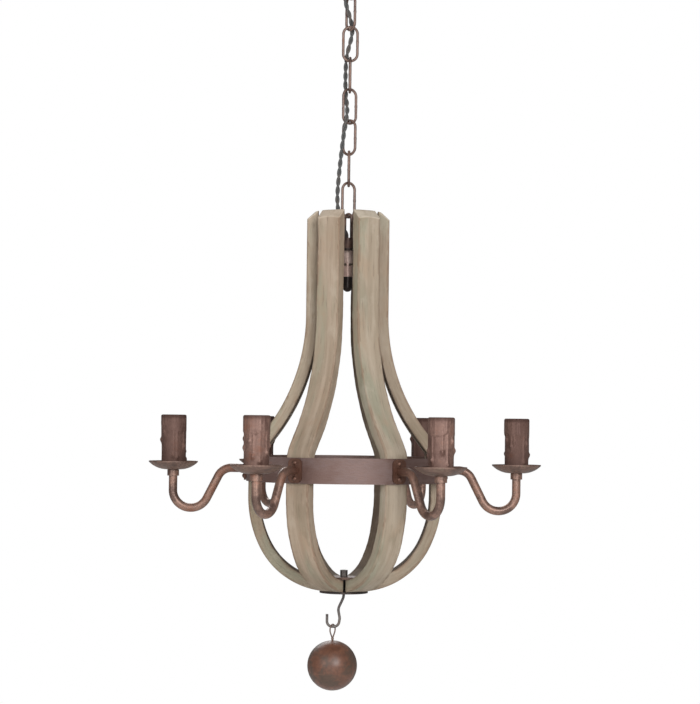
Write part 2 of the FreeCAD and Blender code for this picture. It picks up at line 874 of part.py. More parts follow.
def hub_spider():
    """A plate with a spoke and an upright tab to each stave."""
    whole = body("hub_spider")
    disc = sketch_on(whole, "disc", "XY_Plane")
    round_hole(disc, zero, zero, s.spider_disc / 2)
    round_hole(disc, zero, zero, s.hub_bore / 2)
    pad(whole, "plate", disc, s.spider_plate)
    root, plate = s.hub_bore / 2 + s.spider_plate, s.spider_plate
    spoke = sketch_on(whole, "spoke", "XZ_Plane")
    outline(spoke, [
        (root, zero), (tab_outer, zero), (tab_outer, s.tab_height),
        (tab_inner, s.tab_height), (tab_inner, plate), (root, plate),
    ])
    arm = pad(whole, "spoke_strip", spoke, s.spoke_width, both_sides=True)
    hole = sketch_on(whole, "tab_hole", "YZ_Plane", lift=root)
    round_hole(hole, zero, tab_screw_z - spider_bottom, s.screw_diameter / 2 + s.hole_gap)
    ring_of(whole, [arm, pocket_along(whole, "tab_drilled", hole, tab_outer)])
    keep(put(whole, z=fixture_z + spider_bottom), "hub_spider")


def screw_outline(tip, seat, radius, head_radius, head_height):
    """Half a screw along its axis, with a domed head that faces away from the tip."""
    dome = (head_radius * head_radius + head_height * head_height) / (head_height * 2)
    away = 1 if float(seat) > float(tip) else -1
    crown = seat + head_height * away
    return [(tip, zero), (tip, radius), (seat, radius), (seat, head_radius), (crown, zero, dome, away < 0)]


def spider_screws():
    """One screw through each tab into its stave, from inside."""
    whole = body("spider_screws", compound=True)
    profile = sketch_on(whole, "profile", "XZ_Plane", rise=tab_screw_z)
    seat, tip = tab_inner - s.seat_gap, neck_inner + s.screw_depth
    outline(profile, screw_outline(tip, seat, s.screw_diameter / 2, s.screw_head / 2, s.screw_head_height))
    ring_of(whole, [revolve(whole, "turn", profile, "H_Axis")])
    keep(put(whole, z=fixture_z), "spider_screws")


# Staves

STAVE_LINE = [
    (s.neck_radius, zero), (s.neck_radius, -s.neck_height),
    (s.belly_radius, -shoulder_height), (s.belly_radius, -lower_belly_height),
    (heel_radius, -heel_height), (s.toe_radius, -toe_height),
]


def bend_to_fit(corners, reach):
    """The bend whose arc starts that far before its corner, and ends as far behind it."""
    (x1, y1), (x2, y2), (x3, y3) = corners
    along = (x2 - x1) * (x3 - x2) + (y2 - y1) * (y3 - y2)
    across = (x2 - x1) * (y3 - y2) - (y2 - y1) * (x3 - x2)
    lengths = hypotenuse(x2 - x1, y2 - y1) * hypotenuse(x3 - x2, y3 - y2)
    return reach * (lengths + along) / absolute(across)


heel_length = hypotenuse(s.heel_run, s.heel_drop)
toe_length = hypotenuse(heel_radius - s.toe_radius, s.toe_drop)
heel_reach = toe_length * HEEL_ARC_SHARE
belly_reach = (heel_length - heel_reach) * BELLY_ARC_SHARE
heel_bend = s.derive("heel_bend", bend_to_fit(STAVE_LINE[3:6], heel_reach))
lower_belly_bend = s.derive("lower_belly_bend", bend_to_fit(STAVE_LINE[2:5], belly_reach))
STAVE_BENDS = [s.flare_bend, s.shoulder_bend, lower_belly_bend, heel_bend]


def stave(number):
    """A bent board with a bevel turned on its top, mitred where the staves meet at the bottom."""
    label = f"stave_{number + 1}"
    whole = body(label)
    half = s.stave_width / 2
    section = sketch_on(whole, "section", "XY_Plane")
    outline(section, rectangle(neck_inner, s.neck_radius, -half, half))
    line = sketch_on(whole, "line", "XZ_Plane")
    pipe(whole, "board", section, bent_line(line, STAVE_LINE, STAVE_BENDS))
    top = sketch_on(whole, "top", "XZ_Plane")
    outline(top, top_bevel())
    revolve(whole, "turned_top", top, kind="Groove")
    seat = sketch_on(whole, "seat", "XZ_Plane")
    seat_low = -seat_height - s.stave_thickness
    outline(seat, rectangle(zero, heel_radius, seat_low, -seat_height))
    pocket_through(whole, "seat_cut", seat)
    miter = sketch_on(whole, "miter", "XY_Plane")
    for way in (1, -1):
        outline(miter, miter_wedge(way))
    pocket_through(whole, "miters", miter)
    stave_holes(whole)
    keep(put(whole, z=fixture_z, turn=stave_turn(number)), label)


def top_bevel():
    """The corner that is turned off the outside of the staves' tops, all round the neck."""
    inner, drop, over = s.neck_radius - s.stave_top_bevel, s.stave_bevel_drop, s.cut_overrun
    outer = s.neck_radius + s.stave_width / 2
    low = -drop * (outer - inner) / s.stave_top_bevel
    return [(inner, zero), (outer, low), (outer, over), (inner, over)]


def miter_wedge(way):
    """The triangle beyond a stave's share of the circle, less half the gap to its neighbour."""
    slope = math.tan(math.radians(STAVE_STEP / 2))
    start = s.miter_gap / (2 * math.sin(math.radians(STAVE_STEP / 2)))
    reach = s.stave_width / 2 + s.cut_overrun
    return [(start, zero), (start + reach / slope, reach * way), (start, reach * way)]


def stave_holes(whole):
    """Bolt holes and the wire's hole at the belly, and a blind hole for the spider's screw."""
    belly = sketch_on(whole, "belly_holes", "YZ_Plane")
    belly_holes(belly, arm_height)
    pocket_through(whole, "belly_drilled", belly)
    neck = sketch_on(whole, "neck_hole", "YZ_Plane", lift=neck_inner)
    round_hole(neck, zero, tab_screw_z, s.screw_diameter / 2 + s.hole_gap)
    pocket_along(whole, "neck_drilled", neck, s.screw_depth + s.seat_gap)


def belly_holes(item, level):
    """Two bolt holes with the wire's hole between them."""
    for way in (1, -1):
        round_hole(item, zero, level + s.bolt_spacing / 2 * way, bolt_hole)
    round_hole(item, zero, level, s.wire_hole / 2)


# Hoop round the belly, outside the staves

def hoop():
    whole = body("hoop")
    ring = sketch_on(whole, "ring", "XY_Plane")
    round_hole(ring, zero, zero, hoop_outer)
    round_hole(ring, zero, zero, hoop_inner)
    pad(whole, "band", ring, s.hoop_height, both_sides=True)
    holes = sketch_on(whole, "holes", "YZ_Plane")
    belly_holes(holes, zero)
    ring_of(whole, [pocket_along(whole, "drilled", holes, hoop_outer + s.cut_overrun)])
    keep(put(whole, z=fixture_z + arm_height), "hoop")


# Arms

arm_dip_bend = s.derive("arm_dip_bend", s.arm_cup_run * CUP_ARC_SHARE)
ARM_BENDS = [s.arm_crest_bend, arm_dip_bend, arm_dip_bend]


def arm_line(start, end):
    """Corners of an arm's middle line, from a radius at the root to a height at the cup."""
    low = arm_height - s.arm_dip
    return [
        (start, arm_height), (arm_crest_radius, arm_height),
        (arm_dip_radius, low), (cup_radius, low), (cup_radius, end),
    ]


def arm(number):
    """A bent tube with a root plate that lies on the hoop."""
    label = f"arm_{number + 1}"
    whole = body(label)
    plate = sketch_on(whole, "plate", "YZ_Plane", lift=root_face)
    outline(plate, rounded_plate(s.root_width / 2, s.root_height / 2, s.root_corner, arm_height))
    pad(whole, "root_plate", plate, s.root_plate)
    for name, radius, kind in (
        ("tube", s.arm_diameter / 2, "AdditivePipe"), ("bore", s.arm_bore / 2, "SubtractivePipe"),
    ):
        section = sketch_on(whole, name + "_section", "YZ_Plane", lift=root_face)
        round_hole(section, zero, arm_height, radius)
        line = sketch_on(whole, name + "_line", "XZ_Plane")
        pipe(whole, name, section, bent_line(line, arm_line(root_face, arm_end), ARM_BENDS), kind)
    holes = sketch_on(whole, "bolt_holes", "YZ_Plane", lift=root_face)
    for way in (1, -1):
        round_hole(holes, zero, arm_height + s.bolt_spacing / 2 * way, bolt_hole)
    pocket_along(whole, "drilled", holes, s.root_plate + s.cut_overrun)
    keep(put(whole, z=fixture_z, turn=stave_turn(number)), label)


def rounded_plate(half_width, half_height, corner, level):
    """An upright rectangle round (0, level), with round corners."""
    x, z = half_width - corner, half_height - corner
    low, high = level - half_height, level + half_height
    return [
        (-x, low, corner, True), (x, low),
        (half_width, level - z, corner, True), (half_width, level + z),
        (x, high, corner, True), (-x, high),
        (-half_width, level + z, corner, True), (-half_width, level - z),
    ]


def arm_bolts():
    """Two bolts for each arm, through its plate, the hoop and the stave."""
    whole = body("arm_bolts", compound=True)
    corners = screw_outline(bolt_tip, head_face, s.bolt_diameter / 2, s.bolt_head / 2, s.bolt_head_height)
    turns = []
    for way, name in ((1, "upper"), (-1, "lower")):
        profile = sketch_on(whole, name, "XZ_Plane", rise=arm_height + s.bolt_spacing / 2 * way)
        outline(profile, corners)
        turns.append(revolve(whole, name + "_turn", profile, "H_Axis"))
    ring_of(whole, turns)
    keep(put(whole, z=fixture_z), "arm_bolts")


def arm_nuts():
    """The bolts' nuts, inside the staves."""
    whole = body("arm_nuts", compound=True)
    profile = sketch_on(whole, "profile", "YZ_Plane", lift=nut_face - s.bolt_nut_height)
    for way in (1, -1):
        level = arm_height + s.bolt_spacing / 2 * way
        outline(profile, six_corners(s.bolt_nut_flats, level))
        round_hole(profile, zero, level, s.bolt_diameter / 2 + s.thread_gap)
    ring_of(whole, [pad(whole, "height", profile, s.bolt_nut_height)])
    keep(put(whole, z=fixture_z), "arm_nuts")


# Pieces on the end of each arm, from the collar up

def pan_collars():
    outer, top, grip = s.pan_collar_diameter / 2, s.pan_collar_height, s.pan_collar_grip + s.seat_gap
    arm_fit = s.arm_diameter / 2 + s.thread_gap
    turned_at_cups("pan_collars", [
        (arm_fit, zero), (outer, zero), (outer, top),
        (arm_nipple_fit, top), (arm_nipple_fit, grip), (arm_fit, grip),
    ], fixture_z + collar_bottom)


def arm_nipples():
    low = arm_end + s.seat_gap * 2
    height = pan_floor + s.arm_nipple_rise - low
    inner, outer = s.arm_nipple_bore / 2, s.arm_nipple_diameter / 2
    turned_at_cups("arm_nipples", rectangle(inner, outer, zero, height), fixture_z + low)


def dish_bend(run, rise):
    """Radius of an arc that leaves the floor level, and climbs by rise over run."""
    return (run * run + rise * rise) / (rise * 2)


PAN_RIM = s.pan_radius - s.pan_lip
PAN_INNER_BEND = dish_bend(PAN_RIM - s.pan_floor_radius, s.pan_depth + s.pan_lip / 2 - s.pan_wall)


def drip_pan(number):
    outer_bend = dish_bend(s.pan_radius - s.pan_floor_radius, s.pan_depth)
    hole, rim_top = s.arm_nipple_diameter / 2 + s.hole_gap, s.pan_depth + s.pan_lip
    label = f"drip_pan_{number + 1}"
    pan = turned(label, [
        (hole, zero), (s.pan_floor_radius, zero),
        (s.pan_radius, s.pan_depth, outer_bend, True),
        (s.pan_radius, rim_top), (PAN_RIM, rim_top), (PAN_RIM, s.pan_depth + s.pan_lip / 2),
        (s.pan_floor_radius, s.pan_wall, PAN_INNER_BEND, False), (hole, s.pan_wall),
    ], *at_cup(number), fixture_z + pan_bottom)
    keep(pan, label)


def lampholders():
    """Sockets screwed on the nipples, each with a channel for its wire."""
    outer, top = s.holder_diameter / 2, s.holder_height
    lamp, shelf = s.lamp_bore / 2, s.holder_height - s.lamp_bore_depth
    channel, grip = s.holder_channel / 2, s.arm_nipple_rise
    turned_at_cups("lampholders", [
        (arm_nipple_fit, zero), (outer, zero), (outer, top), (lamp, top),
        (lamp, shelf), (channel, shelf), (channel, grip), (arm_nipple_fit, grip),
    ], fixture_z + pan_floor + s.seat_gap)


def candle_sleeve(number):
    """A sleeve that stands in the pan, where the dish has risen to its outer edge."""
    out = s.sleeve_diameter / 2 - s.pan_floor_radius
    rest = PAN_INNER_BEND - other_side(PAN_INNER_BEND, out)
    label = f"candle_sleeve_{number + 1}"
    bore = s.sleeve_diameter - s.sleeve_wall * 2
    sleeve = tube(label, s.sleeve_diameter, bore, s.sleeve_height, zero)
    keep(put(sleeve, *at_cup(number), fixture_z + pan_floor + rest + s.seat_gap), label)


def lamp_wires():
    """A wire from the hub down the inside of each stave and through its arm to the lampholder."""
    half = s.wire_off + s.wire_diameter / 2
    inward = float(s.stave_thickness + half)
    corners = [Vector(float(x), 0, float(z)) for x, z in STAVE_LINE[:3]]
    slope = (corners[2] - corners[1]).normalize()
    tilt = Vector(0, 0, -1).getAngle(slope)
    neck = corners[1] - Vector(inward, 0, inward * math.tan(tilt / 2))
    past_nuts = float(bolt_tip - half)
    knee = neck + slope * ((past_nuts - neck.x) / slope.x)
    level, arm_level = float(wire_height), float(arm_height)
    start = float(s.splice_diameter / 2 + s.seat_gap)
    past = Vector(past_nuts, 0, arm_level)
    points = [Vector(start, 0, level), Vector(neck.x, 0, level), neck, knee, past]
    end = pan_floor + s.arm_nipple_rise + s.wire_diameter
    points += [Vector(float(x), 0, float(z)) for x, z in arm_line(zero, end)[1:]]
    bends = [s.wire_bend, s.flare_bend + inward, s.wire_bend, s.wire_bend] + ARM_BENDS
    strand = rod(rounded_wire(points, [float(bend) for bend in bends]), float(s.wire_diameter) / 2)
    copies = []
    for number in range(STAVES):
        copies.append(strand.rotated(Vector(), Vector(0, 0, 1), stave_turn(number)))
    feature("lamp_wires", Part.makeCompound(copies), z=fixture_z)


# Bottom clamp: two plates and a nut on the hook's stem

def bottom_clamp():
    low, thick = bottom_plate_low, s.bottom_plate_thickness
    lower = tube("bottom_plate", s.bottom_plate_diameter, hook_fit, thick, low)
    keep(put(lower, z=fixture_z), "bottom_plate")
    upper = tube("clamp_plate", s.clamp_plate_diameter, hook_fit, s.clamp_plate_thickness, clamp_low)
    keep(put(upper, z=fixture_z), "clamp_plate")
    blank = hexagon("clamp_nut_solid", s.clamp_nut_flats, s.clamp_nut_height, clamp_nut_low)
    nut = bored("clamp_nut", blank, hook_fit, s.clamp_nut_height, clamp_nut_low)
    keep(put(nut, z=fixture_z), "clamp_nut")


def hook():
    """A wire hook whose stem carries the clamp."""
    top = clamp_nut_low + s.clamp_nut_height + s.seat_gap
    tip_x = -s.hook_heel - s.hook_mouth
    whole = body("hook")
    section = sketch_on(whole, "section", "XY_Plane", lift=top)
    round_hole(section, zero, zero, s.hook_wire / 2)
    line = sketch_on(whole, "line", "XZ_Plane")
    soft, tight = s.hook_soft_bend, s.hook_round_bend
    bent_line(line, [
        (zero, top), (zero, bottom_plate_low - s.hook_drop),
        (-s.hook_lean, bottom_plate_low - s.hook_lean_drop),
        (-s.hook_back, bottom_plate_low - s.hook_back_drop),
        (-s.hook_heel, hook_bottom), (tip_x, hook_bottom), (tip_x, hook_bottom + s.hook_tip_rise),
    ], [soft, soft, soft, tight, tight])
    pipe(whole, "wire", section, line)
    keep(put(whole, z=fixture_z), "hook")


def ball_eye():
    """A drop-shaped wire loop with a neck and a shank that goes into the ball."""
    bend, drop = float(s.eye_bend), float(s.eye_length)
    open_angle = math.acos(bend / drop)
    tail, crown = Vector(0, 0, -drop), Vector(0, 0, bend)
    halves = []
    for side in (1, -1):
        touch = Vector(side * bend * math.sin(open_angle), 0, -bend * math.cos(open_angle))
        half = Part.Wire([
            Part.LineSegment(tail, touch).toShape(),
            Part.Arc(touch, Vector(side * bend, 0, 0), crown).toShape(),
        ])
        halves.append(rod(half, float(s.eye_wire) / 2))
    neck = Part.makeSphere(float(s.eye_neck) / 2, tail)
    depth = float(s.eye_shank_depth)
    shank = Part.makeCylinder(float(s.eye_shank) / 2, depth, tail - Vector(0, 0, depth))
    whole = neck.fuse(halves + [shank])
    feature("ball_eye", whole, eye_x, zero, fixture_z + eye_centre, EYE_TURN)


def ball():
    centre = ball_top - s.ball_diameter / 2
    sphere = put(bind(doc.addObject("Part::Sphere", "ball_solid"), Radius=s.ball_diameter / 2), z=centre)
    low = eye_tail - s.eye_shank_depth - s.seat_gap
    bore = cylinder("ball_hole", s.eye_shank / 2 + s.thread_gap, ball_top - low + s.cut_overrun, low)
    keep(put(cut("ball", sphere, bore), eye_x, zero, fixture_z), "ball")


# Build

ceiling_bracket()
terminal_block()
canopy()
canopy_hardware()
canopy_loop()
for link_number, link_turn in enumerate(LINK_TURNS):
    chain_link(link_number, link_turn)
supply_cable()
hub_loop()
hub_nipple()
hub_tube()
hub_cap()
splice_block()
hub_spider()
spider_screws()
for stave_number in range(STAVES):
    stave(stave_number)
    arm(stave_number)
    drip_pan(stave_number)
    candle_sleeve(stave_number)
hoop()
arm_bolts()
arm_nuts()
pan_collars()
arm_nipples()
lampholders()
lamp_wires()
bottom_clamp()
hook()
ball_eye()
ball()
doc.recompute()


# Check everything, then write one file for each sub-part

for item in doc.Objects:
    if "Invalid" in item.State or "Error" in item.State:
        raise RuntimeError(f"{item.Name} did not compute: {item.State}")
for item in sub_parts:
    if item.Shape.isNull() or not item.Shape.isValid() or not item.Shape.Solids:
        raise RuntimeError(f"{item.Label} has no valid solid")

os.makedirs("parts", exist_ok=True)
for item in sub_parts:
    item.Shape.exportStep(f"parts/{item.Label}.step")
print(len(sub_parts), "sub-parts, fixture at", round(float(fixture_z), 2))
print("lowest point", round(float(fixture_z + ball_top - s.ball_diameter), 1))
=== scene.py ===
# %% [markdown]
# # A stave chandelier with six arms
#
# The real lamp is made like a cask: six bent boards, a hoop, and iron fittings gone to rust.
# This lesson dresses its plain CAD model. Each cell makes one kind of piece, after a few words
# on what that piece is and why it is made this way. Every length is in metres.

# %% The frame
import math

import bmesh
import bpy
import numpy as np
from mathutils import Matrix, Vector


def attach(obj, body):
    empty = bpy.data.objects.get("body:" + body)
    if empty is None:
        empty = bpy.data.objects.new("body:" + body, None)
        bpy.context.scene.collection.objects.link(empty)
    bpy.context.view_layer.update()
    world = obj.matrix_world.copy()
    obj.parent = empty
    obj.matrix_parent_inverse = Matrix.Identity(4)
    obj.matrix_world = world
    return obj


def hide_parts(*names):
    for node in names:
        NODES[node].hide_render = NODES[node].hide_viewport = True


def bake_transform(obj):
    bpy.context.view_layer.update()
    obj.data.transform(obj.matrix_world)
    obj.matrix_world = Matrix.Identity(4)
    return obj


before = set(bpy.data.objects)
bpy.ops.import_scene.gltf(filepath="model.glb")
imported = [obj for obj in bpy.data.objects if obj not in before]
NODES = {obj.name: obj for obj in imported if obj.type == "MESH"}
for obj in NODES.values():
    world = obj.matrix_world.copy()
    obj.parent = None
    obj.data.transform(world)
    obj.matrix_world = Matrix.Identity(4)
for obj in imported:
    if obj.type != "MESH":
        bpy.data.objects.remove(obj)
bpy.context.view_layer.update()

STAVES, LINKS = 6, 7
# height of the staves' tops, turn of the first stave in degrees, and step from link to link
TOPS, FIRST_TURN, LINK_PITCH = -0.4228, -60, 0.0483
X_WAY, Y_WAY = np.array([1.0, 0, 0]), np.array([0, 1.0, 0])

# %% [markdown]
# ## From arrays to meshes
#
# A surface here is a grid of points worked out in one go. It could be drawn by hand or built
# with modifiers, but a formula keeps the shape exact and easy to change. These helpers turn
# the grid's numbers into faces and the faces into a piece that rides on its CAD body.

# %% Grids and pieces
def grid_faces(rows, columns, wrap=False, close=False):
    """Four-cornered faces of a grid. wrap joins its last column to the first, close its last row."""
    index = np.arange(rows * columns).reshape(rows, columns)
    if wrap:
        index = np.hstack([index, index[:, :1]])
    if close:
        index = np.vstack([index, index[:1]])
    corners = [index[:-1, :-1], index[:-1, 1:], index[1:, 1:], index[1:, :-1]]
    return np.stack(corners, axis=-1).reshape(-1, 4)


def piece(name, points, faces, body, slot, material, crease=40, replaces=(), **attributes):
    """A mesh from whole arrays: its open ends closed, its normals outward, its sharp edges marked."""
    mesh = bpy.data.meshes.new(name)
    mesh.from_pydata(points.reshape(-1, 3).tolist(), [], [tuple(face) for face in faces.tolist()])
    for key, values in attributes.items():
        kind, field = ("FLOAT_VECTOR", "vector") if values.ndim > 1 else ("FLOAT", "value")
        mesh.attributes.new(key, kind, "POINT").data.foreach_set(field, values.astype(np.float32).ravel())
    loose = bmesh.new()
    loose.from_mesh(mesh)
    bmesh.ops.holes_fill(loose, edges=[edge for edge in loose.edges if edge.is_boundary])
    bmesh.ops.recalc_face_normals(loose, faces=loose.faces)
    loose.to_mesh(mesh)
    loose.free()
    mesh.polygons.foreach_set("use_smooth", [True] * len(mesh.polygons))
    mesh.set_sharp_from_angle(angle=math.radians(crease))
    mesh.materials.append(material)
    made = bpy.data.objects.new(name, mesh)
    bpy.context.scene.collection.objects.link(made)
    if body:
        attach(made, body)
    for node in replaces:
        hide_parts(node)
    return made


def unit(vectors):
    return vectors / np.linalg.norm(vectors, axis=-1, keepdims=True)


def spun(points, degrees):
    """The points turned about the vertical axis."""
    turn = math.radians(degrees)
    cosine, sine = math.cos(turn), math.sin(turn)
    x, y, z = points[..., 0], points[..., 1], points[..., 2]
    return np.stack([x * cosine - y * sine, x * sine + y * cosine, z], axis=-1)


def turn_of(number):
    """Degrees about the vertical axis of a stave and its candle and wire. Number 0 is the first."""
    return 360 / STAVES * number + FIRST_TURN


def cross_ways(path, across, closed=False):
    """Two unit directions square to the path at each point, the first as near to across as it can be.
    The path's own direction at a point comes from the point's two neighbours."""
    if closed:
        way = unit(np.roll(path, -1, axis=0) - np.roll(path, 1, axis=0))
    else:
        way = unit(np.gradient(path, axis=0))
    side = unit(across - (way @ across)[:, None] * way)
    return side, np.cross(way, side)


def swept(path, radius, across, sides, closed=False):
    """A rod: round each path point, a circle of the radius that stands square to the path,
    path + radius * (side cos t + up sin t). across is a direction that the path never takes; it
    fixes how the circles are turned."""
    side, up = cross_ways(path, across, closed)
    turn = np.linspace(0, math.tau, sides, endpoint=False)
    radius = np.broadcast_to(radius, len(path))[:, None, None]
    ring = np.cos(turn)[None, :, None] * side[:, None] + np.sin(turn)[None, :, None] * up[:, None]
    return path[:, None] + ring * radius


# %% [markdown]
# ## Finishes from nodes
#
# Weathered wood, rust and cloth are patterns at several scales: blotches, streaks and grain.
# Photographs of surfaces could be wrapped round the pieces, but noise worked out in the
# material has no seams and no copies. Each finish below mixes a few colours by noise and
# lets the same noise drive roughness and bump.

# %% Node helpers
def dimmed(colour, share):
    return tuple(share * c for c in colour)


def halfway(one, other):
    return tuple((a + b) / 2 for a, b in zip(one, other))


class Finish:
    """A material under construction: short names for the nodes that every finish uses."""

    def __init__(self, name, roughness, metallic=0.0, specular=0.5):
        self.material = bpy.data.materials.new(name)
        self.material.use_nodes = True
        self.tree = self.material.node_tree
        self.shader = self.tree.nodes["Principled BSDF"]
        self.shader.inputs["Roughness"].default_value = roughness
        self.shader.inputs["Metallic"].default_value = metallic
        self.shader.inputs["Specular IOR Level"].default_value = specular
        self.place = self.tree.nodes.new("ShaderNodeTexCoord").outputs["Object"]

    def node(self, kind, values=(), **settings):
        made = self.tree.nodes.new("ShaderNode" + kind)
        for key, value in settings.items():
            setattr(made, key, value)
        for key, value in dict(values).items():
            self.feed(made.inputs[key], value)
        return made

    def feed(self, socket, value):
        """Links a node's output to a socket, or sets the socket to a number or colour."""
        if isinstance(value, bpy.types.NodeSocket):
            self.tree.links.new(value, socket)
        elif isinstance(value, tuple) and len(value) == 3 and socket.type == "RGBA":
            socket.default_value = (*value, 1)
        else:
            socket.default_value = value

    def attribute(self, name, output="Fac"):
        return self.node("Attribute", attribute_name=name).outputs[output]

    def stretched(self, scale, place=None):
        """The coordinates times a scale of their own for each axis."""
        made = self.node("Mapping", {"Vector": place or self.place, "Scale": scale})
        return made.outputs["Vector"]

    def noise(self, scale, place=None, detail=4.0, rough=0.55, warp=0.0):
        values = {"Vector": place or self.place, "Scale": scale, "Detail": detail, "Roughness": rough}
        made = self.node("TexNoise", {**values, "Distortion": warp})
        return made.outputs["Fac"]

    def spots(self, scale):
        return self.node("TexVoronoi", {"Vector": self.place, "Scale": scale}).outputs["Distance"]

    def between(self, value, low, high, start=0.0, end=1.0):
        """Spreads a value from low-high to start-end, smoothly, and holds it there."""
        values = {"Value": value, "From Min": low, "From Max": high, "To Min": start, "To Max": end}
        return self.node("MapRange", values, interpolation_type="SMOOTHSTEP").outputs["Result"]

    def mix(self, share, one, other, way="MIX"):
        made = self.node("Mix", data_type="RGBA", blend_type=way)
        self.feed(made.inputs[0], share)
        self.feed(made.inputs[6], one)
        self.feed(made.inputs[7], other)
        return made.outputs[2]

    def worked_out(self, way, one, other):
        made = self.node("Math", operation=way)
        self.feed(made.inputs[0], one)
        self.feed(made.inputs[1], other)
        return made.outputs[0]

    def sum(self, one, other):
        return self.worked_out("ADD", one, other)

    def times(self, one, other):
        return self.worked_out("MULTIPLY", one, other)

    def done(self, colour, height=None, depth=0.0, strength=1.0, roughness=None):
        """Joins colour, roughness and bump to the shader; depth is the bump's height in metres."""
        self.feed(self.shader.inputs["Base Color"], colour)
        if roughness is not None:
            self.feed(self.shader.inputs["Roughness"], roughness)
        if height is not None:
            bump = self.node("Bump", {"Height": height, "Distance": depth, "Strength": strength})
            self.feed(self.shader.inputs["Normal"], bump.outputs["Normal"])
        return self.material


# %% [markdown]
# ## Weathered oak
#
# The boards were limed or left in the rain: beige-grey, with soft lengthwise grain, faint
# greenish and warm clouds, brown edges and pale fresh cuts at their tops. The brown on the edges
# is partly wear and partly painted shade where the boards meet, and the inner faces are darkened
# as painted shade. The grain has to follow the bent board, so the mesh carries the distance along
# the board as an attribute, and the noise is read in those bent coordinates, drawn out along the fibres.

# %% Oak
OAK = {
    "dark": (0.285, 0.227, 0.165), "pale": (0.375, 0.31, 0.238), "mossy": (0.275, 0.272, 0.2),
    "warm": (0.335, 0.24, 0.165), "bleached": (0.43, 0.375, 0.3), "fibre": (0.14, 0.105, 0.077),
    "damp": (0.165, 0.135, 0.085), "worn_edge_and_shade": (0.2, 0.132, 0.088), "cut": (0.52, 0.45, 0.36),
    # back: painted shade on the boards' inner faces, which lie in the lamp's own shadow
    "back": (0.105, 0.078, 0.058),
}
PLANK_TINTS = (0.94, 0.945, 0.945), (0.88, 0.835, 0.815)
# below the first height the boards begin to look damp, and below the second they are dampest
DAMP_HEIGHTS = -0.8, -0.97


def oak():
    """Noises drawn out along the fibres, each of which lays one tone over those before it."""
    wood = Finish("weathered_oak", 0.82, specular=0.25)
    along = wood.attribute("grain", "Vector")
    fibre = wood.noise(1.0, wood.stretched((26, 420, 420), along), detail=6, rough=0.6)
    grain = wood.noise(1.0, wood.stretched((7, 90, 110), along), detail=5, rough=0.6, warp=0.5)
    streak = wood.noise(1.0, wood.stretched((5, 30, 30), along), detail=3)
    cloud = wood.noise(1.0, wood.stretched((17, 26, 26), along), detail=5, rough=0.62)
    drops = wood.noise(1.0, wood.stretched((11, 33, 33), along), detail=4)
    colour = wood.mix(wood.between(grain, 0.32, 0.68), OAK["dark"], OAK["pale"])
    # a noise, the values between which it comes in, its largest share and its tone
    layers = [
        (streak, 0.5, 0.68, 0.7, "mossy"), (cloud, 0.5, 0.7, 0.5, "warm"),
        (cloud, 0.46, 0.32, 0.45, "bleached"), (fibre, 0.44, 0.3, 0.5, "fibre"),
    ]
    for mask, start, full, most, tone in layers:
        colour = wood.mix(wood.between(mask, start, full, 0, most), colour, OAK[tone])
    low = wood.between(wood.node("SeparateXYZ", {0: wood.place}).outputs["Z"], *DAMP_HEIGHTS, 0.3, 1.0)
    damp = wood.times(wood.between(drops, 0.53, 0.66, 0, 0.5), low)
    colour = wood.mix(damp, colour, OAK["damp"])
    # wear and painted shade: the rounded corners turn brown, partly as wear and partly as the shade in the
    # gaps between the boards
    worn_edge_and_shade = wood.times(wood.attribute("worn_edge_and_shade"), wood.between(cloud, 0.35, 0.65, 0.3, 0.75))
    colour = wood.mix(worn_edge_and_shade, colour, OAK["worn_edge_and_shade"])
    cut = wood.times(wood.attribute("cut"), wood.between(grain, 0.3, 0.6, 0.45, 0.9))
    colour = wood.mix(cut, colour, OAK["cut"])
    # painted shade: the inner faces darken, as if in the shadow inside the lamp
    back = wood.times(wood.attribute("back"), wood.between(cloud, 0.4, 0.6, 0.62, 0.88))
    colour = wood.mix(back, colour, OAK["back"])
    plank = wood.mix(wood.attribute("plank"), *PLANK_TINTS)
    colour = wood.mix(1.0, colour, plank, "MULTIPLY")
    height = wood.sum(fibre, wood.times(grain, 0.6))
    rough = wood.between(fibre, 0.3, 0.7, 0.9, 0.72)
    return wood.done(colour, height, 0.0006, 0.8, rough)


BOARD = oak()
print("finish", BOARD.name)

# %% [markdown]
# ## Rusted iron
#
# Hoop, arms, pans, candle sleeves and small fittings follow one recipe, each with colours of
# its own: a brown paint or scale with a satin sheen, redder where water sat, and dark pits.
# Blotches are a slow noise, rust follows it with a finer one, and pits are the cores of a cell
# pattern. Towards the middle of the lamp the arms turn a deep rust, where the plates trap water.

# %% Iron and the other metals
# distances from the lamp's axis at which the arms' deep rust is full and at which it has gone
ROOT_FULL, ROOT_GONE = 0.15, 0.215


